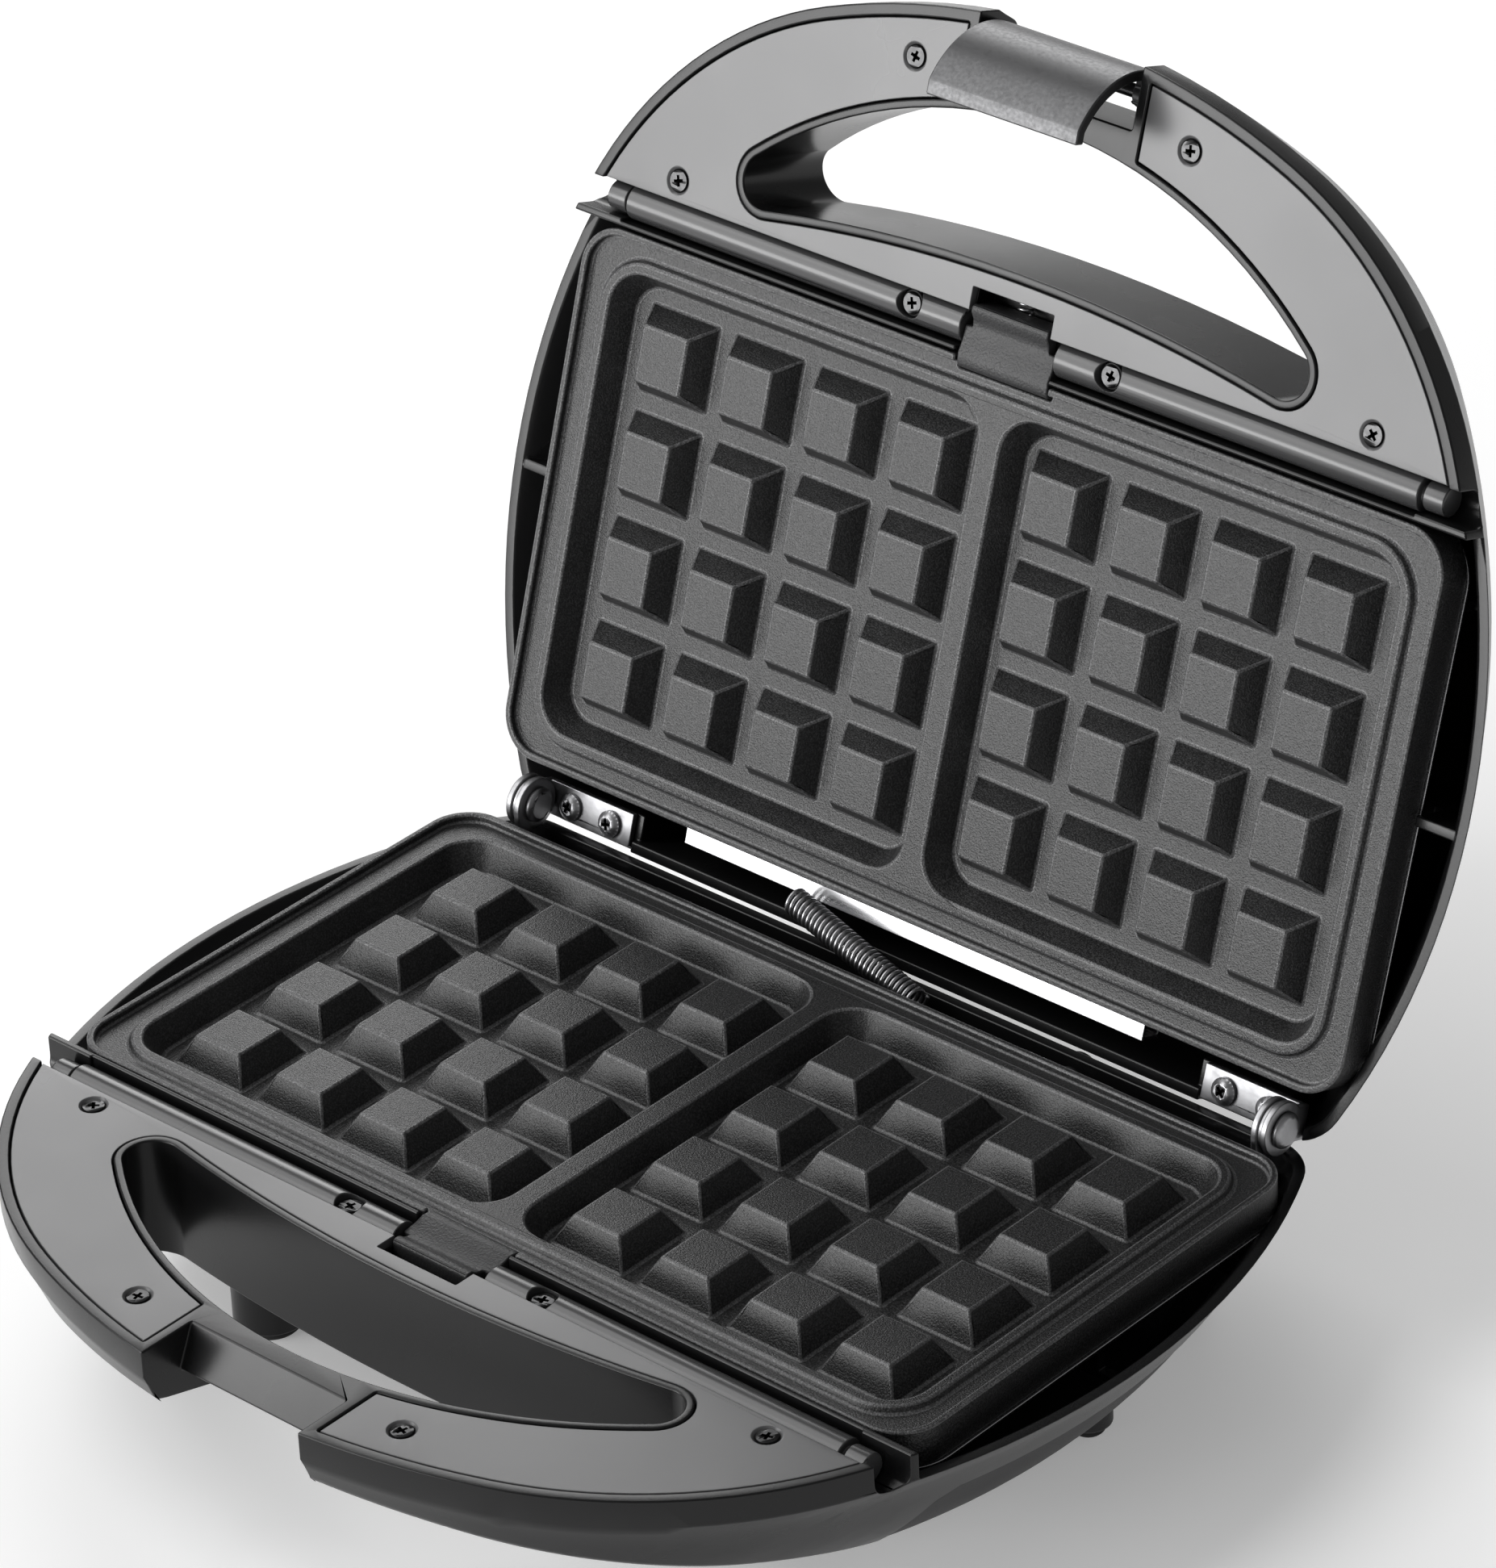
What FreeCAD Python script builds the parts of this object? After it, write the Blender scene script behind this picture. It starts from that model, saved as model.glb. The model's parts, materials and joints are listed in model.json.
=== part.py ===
"""Two-waffle maker, standing open: base and lid are matching halves joined by a riveted hinge.

Every piece of a half is drawn in the half's own frame: x runs along the hinge line, d is the
distance from the hinge towards the handle and h is the depth below the parting plane.
A point (x, d, h) is the document point (x, -d, -h). Lid pieces are then turned over and opened.
"""
import FreeCAD, Part
import math
import os
import re
from FreeCAD import Placement, Rotation, Vector
import Sketcher

doc = FreeCAD.newDocument("waffle_maker")
sheet = doc.addObject("Spreadsheet::Sheet", "sizes")

SIZES = [
    # Waffle pegs and their recesses, which set the size of what lies round them
    ("grid_pitch", 24.0, "spacing of the waffle pegs"),
    ("grid_count", 4, "pegs along each side of a recess"),
    ("peg_base", 19.6, "foot of a peg"),
    ("peg_top", 12.6, "top of a peg"),
    ("divider_half", 2.85, "half width of the rib between the recesses"),
    ("peg_inner_gap", 15.2, "rib to the first column of pegs"),
    ("peg_outer_gap", 17.15, "last column of pegs to the side of a recess"),
    ("peg_end_gap", 16.6, "first and last row of pegs to the ends of a recess"),
    ("pocket_draft", 3.0, "slope of the recess walls"),
    ("pocket_corner", 9.0, "corner radius of a recess"),
    # Cast baking plate
    ("plate_rear", 8.5, "rear edge of the plate from the hinge line"),
    ("plate_border", 9.3, "recess to the plate's side edge"),
    ("plate_border_rear", 8.1, "recess to the plate's rear edge"),
    ("plate_border_front", 8.0, "recess to the plate's front edge"),
    ("grid_first", "=divider_half + peg_inner_gap", "first column of pegs from the centre line"),
    ("pocket_half", "=grid_first + (grid_count - 1) * grid_pitch + peg_outer_gap",
     "outer edge of the recesses"),
    ("pocket_rear", "=plate_rear + plate_border_rear", "rear edge of the recesses"),
    ("grid_row", "=pocket_rear + peg_end_gap", "first row of pegs from the hinge line"),
    ("pocket_front", "=grid_row + (grid_count - 1) * grid_pitch + peg_end_gap",
     "front edge of the recesses"),
    ("plate_half", "=pocket_half + plate_border", "half width of the plate"),
    ("plate_front", "=pocket_front + plate_border_front", "front edge of the plate"),
    ("plate_corner", 10.0, "corner radius of the plate"),
    ("plate_top", 0.7, "top of the outer lip"),
    ("lip_thick", 1.6, "outer lip"),
    ("gutter_depth", 2.6, "gutter inside the lip"),
    ("bead_top", 1.0, "top of the bead round the recesses and of the pegs"),
    ("bead_width", 3.4, "bead"),
    ("bead_slope", 1.1, "run of the bead's sloping side"),
    ("plate_seat", 9.6, "underside of the plate"),
    ("plate_floor", 2.16, "metal under the recesses"),
    ("pocket_floor", "=plate_seat - plate_floor", "floor of the recesses"),
    ("relief_depth", 4.5, "depth of the step under the clip"),
    ("lug_x", 52.0, "rear lugs of the plate"),
    ("lug_half", 6.0, "half width of a lug"),
    ("lug_out", 2.8, "lug behind the plate"),
    ("lug_reach", "=plate_rear - lug_out", "end of a lug towards the hinge"),
    ("lug_top", 6.5, "top of a lug"),
    # Clearances
    ("play", 0.4, "gap round a piece that is dropped in"),
    ("slip", 0.3, "gap beside a piece that slides or is pushed into a channel"),
    ("fit_gap", 0.15, "gap between pieces that are pushed together"),
    ("panel_groove", 0.4, "gap round the panel"),
    ("thread_gap", 0.05, "gap round a screw or pin in its hole"),
    # Plan outline of a half at its rim: front arc, shoulder arcs, side arcs and rear corners
    ("side_gap", 14.2, "plate to the greatest width"),
    ("rear_gap", 0.18, "plate's side edge to the wall, level with the plate's rear edge"),
    ("bulge_shift", 4.85, "greatest width in front of the plate's middle"),
    ("half_width", "=plate_half + side_gap", "half the greatest width"),
    ("widest_at", "=(plate_rear + plate_front) / 2 + bulge_shift", "greatest width from the hinge line"),
    ("side_draw", "=side_gap - rear_gap", "how far the side arc draws in by the plate's rear edge"),
    ("side_bow", "=side_draw / 2 + (widest_at - plate_rear)^2 / (2 * side_draw)",
     "radius of the bulging sides"),
    ("front_bow", 180.0, "radius of the handle's front edge"),
    ("corner_bow", 95.0, "radius of the handle's shoulders"),
    ("rear_overhang", 4.5, "housing behind the hinge line"),
    ("rear_corner", 14.0, "radius of the rear corners"),
    # Rail and clip between plate and handle
    ("rail_gap", 6.1, "plate to the rail's axis"),
    ("rail_radius", 4.0, "radius of the rail"),
    ("rail_top", 0.6, "crown of the rail below the parting plane"),
    ("rail_foot", 2.6, "rail under its axis"),
    ("rail_set", 9.9, "end of the rail's full section inside the plate's width"),
    ("rail_stub_long", 6.0, "stub at each end of the rail"),
    ("rail_neck", 0.9, "groove between the rail and its stub"),
    ("rail_neck_in", 1.5, "depth of that groove"),
    ("rail_centre", "=plate_front + rail_gap", "axis of the half-round rail"),
    ("rail_axis_depth", "=rail_top + rail_radius", "depth of the rail's axis"),
    ("rail_seat", "=rail_axis_depth + rail_foot", "depth of the rail's seat"),
    ("rail_half", "=plate_half - rail_set", "half length of the rail's full section"),
    ("rail_stub", "=rail_half + rail_stub_long", "end of the rail's stub"),
    ("rail_screw_x", 26.8, "rail screws from the centre line"),
    ("rail_screw_off", 0.7, "rail screws in front of the rail's axis"),
    ("rail_screw_d", "=rail_centre + rail_screw_off", "rail screws from the hinge line"),
    ("panel_rear", "=rail_centre + rail_radius", "rear edge of the panel"),
    ("clip_half", 10.3, "half width of the clip's thumb end"),
    ("clip_saddle_side", 1.9, "saddle past the thumb end on each side"),
    ("clip_saddle_half", "=clip_half + clip_saddle_side", "half width of the clip over the rail"),
    ("relief_half", "=clip_saddle_half + play", "half width of the plate's step under the clip"),
    ("clip_bite", 2.6, "tongue over the plate's step"),
    ("clip_clear", 0.7, "slide left over once the plate is free"),
    ("clip_heel", 1.5, "clip past the panel's rear edge"),
    ("clip_foot", 7.6, "depth of the clip's tail"),
    ("spring_rest", 2.4, "room of the pressed spring"),
    ("clip_tongue", "=plate_front - clip_bite", "tip of the tongue that holds the plate"),
    ("clip_tail", "=panel_rear + clip_heel", "rear face of the clip"),
    ("clip_travel", "=clip_bite + clip_clear", "slide that frees the plate"),
    ("clip_room", "=clip_tail + clip_travel + slip", "end of the clip's notch in the panel"),
    ("spring_wall", "=clip_room + spring_rest", "wall that the clip spring pushes on"),
    ("clip_wire", 0.6, "wire of the clip spring"),
    ("clip_coil", 1.6, "mean coil radius of the clip spring"),
    ("clip_turns", 4, "turns of the clip spring"),
    # Finger opening of the handle
    ("grip_set", 11.0, "panel's rear edge to the opening on the centre line"),
    ("grip_width", 31.1, "opening on the centre line"),
    ("grip_rear", "=panel_rear + grip_set", "rear edge of the opening on the centre line"),
    ("grip_front", "=grip_rear + grip_width", "front edge of the opening on the centre line"),
    ("grip_rear_bow", 393.0, "radius of the rear edge"),
    ("grip_front_bow", 115.0, "radius of the front edge"),
    ("grip_tip", 6.0, "radius of the opening's ends"),
    ("collar", 1.8, "housing wall that shows round the opening"),
    ("handle_bar", 20.2, "opening to the front of the handle"),
    ("handle_reach", "=grip_front + handle_bar", "hinge line to the front of the handle"),
    # Latch on the lid and its catch in the base
    ("latch_half", 20.0, "half width of the latch"),
    ("latch_side", 1.5, "gap beside the latch in its notch"),
    ("notch_half", "=latch_half + latch_side", "half width of the latch notch"),
    ("strip_width", 5.0, "strip left between opening and notch"),
    ("notch_strip", "=grip_front + strip_width", "front of the strip left in the notch"),
    ("latch_back", 7.0, "centre of the latch's curve behind the strip's front"),
    ("latch_axis_d", "=notch_strip - latch_back", "centre of the latch's curve"),
    ("latch_axis_h", 2.5, "centre of the latch's curve, inside its own half"),
    ("latch_bow", 19.5, "outer radius of the latch"),
    ("latch_thick", 2.4, "wall of the latch"),
    ("latch_top_angle", 24.0, "start of the latch's curve, in degrees below the parting plane"),
    ("latch_lip_angle", 67.0, "end of the latch's curve, in degrees above the parting plane"),
    ("latch_lip", 3.0, "reach of the hook"),
    ("latch_arm", 3.6, "thickness of the latch's side arms"),
    ("latch_pin_in", 6.0, "latch pin inside the latch's outer curve"),
    ("latch_pivot_d", "=latch_axis_d + latch_bow - latch_pin_in", "latch pin"),
    ("latch_pivot_h", 8.0, "latch pin"),
    ("pin_radius", 1.5, "latch pin"),
    ("pin_bite", 1.8, "latch pin in each wall of the notch"),
    ("catch_out", 4.2, "catch in front of the strip"),
    ("catch_reach", "=notch_strip + catch_out", "outer edge of the catch"),
    ("catch_drop", 9.5, "depth of the catch's outer edge"),
    ("catch_thick", 2.8, "catch at its outer edge"),
    ("catch_depth", "=catch_drop + catch_thick", "underside of the catch"),
    # Panel that closes the handle
    ("panel_inset", 3.0, "panel edge inside the rim"),
    ("panel_top", 0.5, "face of the panel below the parting plane"),
    ("panel_thick", 2.0, "panel thickness"),
    ("notch_wall", 2.9, "housing wall beside the latch notch"),
    ("panel_end", "=notch_half + notch_wall", "panel ends beside the latch notch"),
    ("outer_screw_in", 37.3, "outer panel screws inside the greatest width"),
    ("outer_screw_x", "=half_width - outer_screw_in", "outer panel screws from the centre line"),
    ("outer_screw_off", 4.5, "outer panel screws in front of the panel's rear edge"),
    ("outer_screw_d", "=panel_rear + outer_screw_off", "outer panel screws from the hinge line"),
    ("inner_screw_off", 12.2, "inner panel screws beside the panel's ends"),
    ("inner_screw_x", "=panel_end + inner_screw_off", "inner panel screws from the centre line"),
    ("inner_screw_front", 5.2, "inner panel screws in front of the opening"),
    ("inner_screw_d", "=grip_front + inner_screw_front", "inner panel screws from the hinge line"),
    ("screw_head", 2.8, "head radius of a panel or rail screw"),
    ("screw_shank", 1.4, "shank radius of a panel or rail screw"),
    ("screw_length", 11.0, "panel screw under its head"),
    ("rail_screw_short", 2.0, "how much shorter a rail screw is"),
    ("rail_screw_head", 1.8, "head height of a rail screw"),
    ("rail_bore_floor", 3.6, "rail left under the head of its screw"),
    ("boss", 3.8, "radius of a screw boss"),
    # Reflector pan, heater and plate hooks
    ("sheet_metal", 0.8, "steel sheet"),
    ("pan_margin", 0.5, "pan flange past the plate"),
    ("pan_corner", 12.0, "corner radius of the flange"),
    ("pan_flange", 16.5, "flange at the sides of the pan"),
    ("pan_flange_rear", 11.0, "flange at the rear of the pan"),
    ("pan_flange_front", 8.8, "flange at the front of the pan"),
    ("pan_deep", 16.4, "depth of the pan"),
    ("pan_round", 10.0, "corner radius of the pan's walls"),
    ("pan_half", "=plate_half - pan_flange", "half width of the pan"),
    ("pan_rear", "=plate_rear + pan_flange_rear", "rear wall of the pan"),
    ("pan_front", "=plate_front - pan_flange_front", "front wall of the pan"),
    ("pan_depth", "=plate_seat + pan_deep", "underside of the pan"),
    ("heater_radius", 3.2, "heater tube"),
    ("heater_drop", 6.0, "heater's axis under the plate"),
    ("heater_depth", "=plate_seat + heater_drop", "axis of the heater tube"),
    ("heater_side", 16.0, "heater loop inside the pan's sides"),
    ("heater_half", "=pan_half - heater_side", "half width of the heater loop"),
    ("heater_ahead", 17.0, "heater loop behind the pan's front wall"),
    ("heater_front", "=pan_front - heater_ahead", "front run of the heater loop"),
    ("heater_behind", 16.5, "heater loop in front of the pan's rear wall"),
    ("heater_rear", "=pan_rear + heater_behind", "rear run of the heater loop"),
    ("heater_leg", 30.0, "heater terminals from the centre line"),
    ("heater_out", 10.5, "cold legs behind the pan's rear wall"),
    ("heater_end", "=pan_rear - heater_out", "end of the heater's cold legs"),
    ("heater_bend", 13.0, "bend radius of the heater"),
    ("hook_set", 5.3, "riser of the plate hook behind the plate"),
    ("hook_rear", "=plate_rear - hook_set", "riser of the plate hook"),
    ("hook_side", 6.0, "hook past each side of a lug"),
    ("hook_top", "=lug_top - sheet_metal - play", "top of the plate hook"),
    ("hook_in", "=lug_x - lug_half - hook_side", "inner end of a base hook"),
    ("hook_out", "=lug_x + lug_half + hook_side", "outer end of the hooks"),
    # Depth of a half, below the parting plane
    ("rim_gap", 0.3, "rim below the parting plane"),
    ("side_rim", 6.6, "top of the side and rear walls"),
    ("thermostat_radius", 8.0, "thermostat"),
    ("thermostat_x", 34.0, "thermostat from the centre line"),
    ("thermostat_d", 66.0, "thermostat from the hinge line"),
    ("thermostat_high", 8.5, "thermostat"),
    ("floor_room", 5.5, "thermostat to the flat outer face"),
    ("body_depth", "=pan_depth + thermostat_high + floor_room", "depth of the flat outer face"),
    ("low_rise", 8.0, "third wall section above the flat face"),
    ("mid_rise", 20.0, "second wall section above the flat face"),
    ("low_depth", "=body_depth - low_rise", "depth of the third wall section"),
    ("mid_depth", "=body_depth - mid_rise", "depth of the second wall section"),
    ("mid_inset", 9.0, "how far the sides have drawn in at mid_depth"),
    ("low_inset", 17.5, "how far the sides have drawn in at low_depth"),
    ("full_inset", 29.0, "how far the sides have drawn in at body_depth"),
    ("front_share", 0.55, "share of the inset that the handle's front takes"),
    ("rear_share", 0.12, "share of the inset that the rear wall takes"),
    ("ramp_ahead", 10.1, "where the handle's underside is measured, in front of the panel's rear edge"),
    ("ramp_at", "=panel_rear + ramp_ahead", "the same from the hinge line"),
    ("ramp_rise", 13.0, "handle's underside above the flat face there"),
    ("ramp_depth", "=body_depth - ramp_rise", "depth of the handle's underside there"),
    ("ramp_slope", 0.28, "rise of the underside towards the handle's front"),
    ("ramp_blend", 70.0, "radius between the flat face and the ramp"),
    ("edge_round", 3.5, "rounding of the lower edges"),
    ("wall", 2.6, "housing wall"),
    ("handle_extra", 2.0, "how much thicker the walls of the handle are"),
    ("open_angle", 108.2, "angle between the halves as they stand"),
    # Hinge
    ("bracket_metal", 1.5, "hinge bracket sheet"),
    ("ear_set", 14.3, "base ear inside the plate's width"),
    ("base_ear", "=plate_half - ear_set", "inner face of the base ear"),
    ("washer_thick", 0.8, "washer between the ears"),
    ("ear_play", 0.1, "end play of the ears"),
    ("lid_ear", "=base_ear + bracket_metal + washer_thick + ear_play", "inner face of the lid ear"),
    ("bracket_long", 22.2, "bracket from its ear to its inner end"),
    ("bracket_inner", "=base_ear - bracket_long", "inner end of a bracket"),
    ("ear_radius", 6.0, "round of a hinge ear"),
    ("rivet_radius", 2.4, "pivot rivet"),
    ("rivet_head", 4.0, "head of the pivot rivet"),
    ("rivet_head_high", 1.6, "formed head of the rivet"),
    ("rivet_play", 0.06, "running clearance of a rivet or pin"),
    ("lid_bracket_top", 6.4, "face of the lid bracket"),
    ("lid_bracket_rear", 3.6, "lid bracket behind the hinge line"),
    ("lid_bracket_front", 4.2, "lid bracket in front of the hinge line"),
    ("base_bracket_top", 9.4, "face of the base bracket"),
    ("base_bracket_rear", 1.3, "rear edge of the base bracket from the hinge line"),
    ("bracket_clear", 1.1, "base bracket to the plate"),
    ("base_bracket_front", "=plate_rear - bracket_clear", "front edge of the base bracket"),
    ("base_screw_d", "=(base_bracket_rear + base_bracket_front) / 2",
     "base bracket screws from the hinge line"),
    ("bracket_screw_first", 6.0, "inner bracket screw from the bracket's end"),
    ("bracket_screw_step", 11.6, "spacing of the bracket screws"),
    ("bracket_screw_in", "=bracket_inner + bracket_screw_first", "inner bracket screw"),
    ("bracket_screw_out", "=bracket_screw_in + bracket_screw_step", "outer bracket screw"),
    ("bracket_head", 3.0, "head radius of a bracket screw"),
    ("bracket_head_high", 1.8, "head height of a bracket screw"),
    ("bracket_shank", 1.6, "shank radius of a bracket screw"),
    ("bracket_screw_long", 8.0, "hole for a bracket screw"),
    # Base bottom, feet and what is inside
    ("split_rise", 1.5, "joint of housing and bottom cover above the second wall section"),
    ("split_depth", "=mid_depth - split_rise", "joint between housing and bottom cover"),
    ("split_set", 20.9, "bottom cover behind the panel's rear edge at the joint"),
    ("split_front", "=panel_rear - split_set", "front of the bottom cover at the joint"),
    ("split_lean", 8.0, "how far the cover's front edge leans forwards"),
    ("cover_inset", 0.6, "step of the bottom cover behind the housing wall"),
    ("leg_drop", 4.5, "flat face to the surface it stands on"),
    ("foot_height", "=body_depth + leg_drop", "parting plane to the surface it stands on"),
    ("foot_pad", 2.5, "rubber under a leg"),
    ("leg_rim", 1.5, "leg past its rubber foot"),
    ("foot_radius", 6.5, "rubber foot at the front and rear"),
    ("side_foot_radius", 3.6, "rubber foot at the sides"),
    ("front_leg_x", 55.0, "front legs from the centre line"),
    ("front_leg_set", 15.9, "front legs behind the finger opening"),
    ("front_leg_d", "=grip_rear - front_leg_set", "front legs from the hinge line"),
    ("side_leg_in", 29.2, "side legs inside the greatest width"),
    ("side_leg_x", "=half_width - side_leg_in", "side legs from the centre line"),
    ("side_leg_d", 58.0, "side legs from the hinge line"),
    ("rear_leg_in", 46.7, "rear legs inside the greatest width"),
    ("rear_leg_x", "=half_width - rear_leg_in", "rear legs from the centre line"),
    ("rear_leg_d", 10.0, "rear legs from the hinge line"),
    ("rib_at", 70.0, "web beside the plate, from the hinge line"),
    ("rib_step", 44.0, "spacing of the webs"),
    ("rib_thick", 2.4, "web"),
    ("rib_low", 6.0, "web that doesn't show, under the pan flange"),
    ("gland_x", 48.0, "cord gland in the rear wall"),
    ("gland_radius", 4.0, "hole for the gland"),
    ("gland_rim", 1.2, "rim of the gland outside"),
    ("gland_depth", "=split_depth - gland_radius - gland_rim - fit_gap", "cord gland in the rear wall"),
    ("cord_bore", 2.9, "bore of the gland"),
    ("lamp_x", 9.0, "indicator lamps from the centre line"),
    ("lamp_d", 84.0, "indicator lamps from the hinge line"),
    ("lamp_radius", 3.6, "indicator lens"),
    # Sprung conduit that carries the leads from base to lid
    ("conduit_wire", 0.9, "wire of the conduit"),
    ("conduit_coil", 2.75, "mean coil radius of the conduit"),
    ("conduit_pitch", 1.36, "pitch of the conduit"),
    ("conduit_turns", 30, "turns of the conduit"),
    ("conduit_x", 11.5, "start of the conduit from the centre line"),
    ("conduit_d", 4.6, "start of the conduit from the hinge line"),
    ("conduit_depth", 4.6, "start of the conduit below the hinge line"),
    ("conduit_back", 9.1, "lean of the conduit towards the rear, in degrees"),
    ("conduit_up", 10.1, "lean of the conduit upwards, in degrees"),
]
for row, (alias, value, note) in enumerate(SIZES, 1):
    sheet.set(f"A{row}", alias)
    sheet.set(f"B{row}", str(value))
    sheet.setAlias(f"B{row}", alias)
    sheet.set(f"C{row}", note)
doc.recompute()
ALIASES = {alias for alias, _, _ in SIZES}


def size(text):
    """The value of an expression written with the sheet's aliases."""
    if isinstance(text, (int, float)):
        return float(text)
    return float(doc.sizes.evalExpression(cells(text)))


def cells(text):
    """An expression with the sheet's name put before each alias."""
    return re.sub(r"[a-z_]+", lambda m: f"sizes.{m[0]}" if m[0] in ALIASES else m[0], str(text))


def bind(thing, **expressions):
    for name, text in expressions.items():
        thing.setExpression(name.replace("__", "."), cells(text))


def put(thing, x, d, h):
    """Places a primitive by its corner or centre in the half's frame."""
    for axis, text in zip("xyz", (x, f"-({d})", f"-({h})")):
        thing.setExpression(f"Placement.Base.{axis}", cells(text))
    return thing


def block(name, x, d, h):
    """Box between two values of x, of d and of h."""
    box = doc.addObject("Part::Box", name)
    bind(box, Length=f"({x[1]}) - ({x[0]})", Width=f"({d[1]}) - ({d[0]})", Height=f"({h[1]}) - ({h[0]})")
    return put(box, x[0], d[1], h[1])


def post(name, x, d, h, radius):
    """Upright cylinder between two depths."""
    drum = doc.addObject("Part::Cylinder", name)
    bind(drum, Radius=radius, Height=f"({h[1]}) - ({h[0]})")
    return put(drum, x, d, h[1])


def rod(name, x, d, h, radius):
    """Cylinder along the hinge direction."""
    drum = doc.addObject("Part::Cylinder", name)
    bind(drum, Radius=radius, Height=f"({x[1]}) - ({x[0]})")
    drum.Placement.Rotation = Rotation(Vector(0, 1, 0), 90)
    return put(drum, x[0], d, h)


def mirrored(name, make, x, *rest):
    """The same primitive on the right and on the left."""
    right = make(f"{name}_right", x, *rest)
    flipped = (f"-({x[1]})", f"-({x[0]})") if isinstance(x, tuple) else f"-({x})"
    return [right, make(f"{name}_left", flipped, *rest)]


def fuse(name, *parts):
    joined = doc.addObject("Part::MultiFuse", name)
    joined.Shapes = list(parts)
    joined.Refine = True
    return joined


def common(name, *parts):
    shared = doc.addObject("Part::MultiCommon", name)
    shared.Shapes = list(parts)
    return shared


def cut(name, base, *tools):
    """Takes the tools away from the base, as one fused tool when there are several."""
    result = doc.addObject("Part::Cut", name)
    result.Base = base
    result.Tool = tools[0] if len(tools) == 1 else fuse(f"{name}_tools", *tools)
    result.Refine = True
    return result


def prism(name, points, x):
    """Profile of (d, h) corners, drawn across the hinge line and run between two values of x."""
    sketch = doc.addObject("Sketcher::SketchObject", f"{name}_profile")
    sketch.Placement.Rotation = Rotation(Vector(0, -1, 0), Vector(0, 0, -1), Vector(1, 0, 0), "XYZ")
    sketch.setExpression("Placement.Base.x", cells(x[0]))
    corners = [Vector(size(d), size(h)) for d, h in points]
    for i, corner in enumerate(corners):
        sketch.addGeometry(Part.LineSegment(corner, corners[(i + 1) % len(corners)]), False)
    for i, (d, h) in enumerate(points):
        sketch.addConstraint(Sketcher.Constraint("Coincident", i, 2, (i + 1) % len(points), 1))
        for kind, text, value in (("DistanceX", d, corners[i].x), ("DistanceY", h, corners[i].y)):
            index = sketch.addConstraint(Sketcher.Constraint(kind, -1, 1, i, 1, value))
            sketch.setExpression(f"Constraints[{index}]", cells(text))
    return run_along(name, sketch, Vector(1, 0, 0), f"({x[1]}) - ({x[0]})")


def run_along(name, profile, direction, length):
    """Straight extrusion of a closed profile."""
    solid = doc.addObject("Part::Extrusion", name)
    solid.Base = profile
    solid.DirMode = "Custom"
    solid.Dir = direction
    solid.Solid = True
    bind(solid, LengthFwd=length)
    return solid


def drawn(name, wire):
    """Holds an outline that is made of tangent arcs."""
    outline = doc.addObject("Part::Feature", name)
    outline.Shape = wire
    return outline


def slab(name, wire, h):
    """Outline in plan, run down between two depths."""
    outline = drawn(f"{name}_outline", wire)
    outline.Placement.Base = Vector(0, 0, -size(h[0]))
    return run_along(name, outline, Vector(0, 0, -1), f"({h[1]}) - ({h[0]})")


def turned(name, profile):
    """Body of revolution about its own Z axis from (radius, height) corners, the first on the axis."""
    body = doc.addObject("PartDesign::Body", name)
    sketch = body.newObject("Sketcher::SketchObject", f"{name}_sketch")
    plane = next(f for f in body.Origin.OriginFeatures if f.Role == "XZ_Plane")
    axis = next(f for f in body.Origin.OriginFeatures if f.Role == "Z_Axis")
    sketch.AttachmentSupport = [(plane, "")]
    sketch.MapMode = "FlatFace"
    corners = [Vector(size(r), size(z)) for r, z in profile]
    for i, corner in enumerate(corners):
        sketch.addGeometry(Part.LineSegment(corner, corners[(i + 1) % len(corners)]), False)
    for i, (r, z) in enumerate(profile):
        sketch.addConstraint(Sketcher.Constraint("Coincident", i, 2, (i + 1) % len(profile), 1))
        for kind, text, value in (("DistanceX", r, corners[i].x), ("DistanceY", z, corners[i].y)):
            index = sketch.addConstraint(Sketcher.Constraint(kind, -1, 1, i, 1, value))
            sketch.setExpression(f"Constraints[{index}]", cells(text))
    spin = body.newObject("PartDesign::Revolution", f"{name}_turning")
    spin.Profile = sketch
    spin.ReferenceAxis = (axis, [""])
    spin.Angle = 360
    body.Tip = spin
    doc.recompute()
    return body


def copies(name, pattern, places):
    """Like pieces as one node: the pattern's solid at each place."""
    group = doc.addObject("Part::Feature", name)
    solids = []
    for place in places:
        solid = pattern.Shape.copy()
        solid.Placement = place.multiply(solid.Placement)
        solids.append(solid)
    group.Shape = Part.makeCompound(solids)
    return group


def at(x, d, h, turn=Rotation()):
    """Place of a copy in the half's frame."""
    return Placement(Vector(size(x), -size(d), -size(h)), turn)


NODES = []


def node(piece, name, half):
    """Names a finished piece and says which half carries it."""
    piece.Label = name
    NODES.append((piece, half))
    return piece


# Outlines made of tangent arcs

def polar(centre, radius, angle):
    return Vector(centre.x + radius * math.cos(angle), centre.y + radius * math.sin(angle), 0)


def arc(centre, radius, start, end):
    middle = polar(centre, radius, (start + end) / 2)
    return Part.Arc(polar(centre, radius, start), middle, polar(centre, radius, end)).toShape()


def heading(a, b):
    return math.atan2(b.y - a.y, b.x - a.x)


def meeting(a, reach_a, b, reach_b):
    """Point on the outer side at two distances from two centres."""
    gap = b.sub(a)
    along = (reach_a ** 2 - reach_b ** 2 + gap.Length ** 2) / (2 * gap.Length)
    aside = math.sqrt(reach_a ** 2 - along ** 2)
    unit = gap.normalize()
    return a.add(unit * along).add(Vector(unit.y, -unit.x, 0) * aside)


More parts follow.
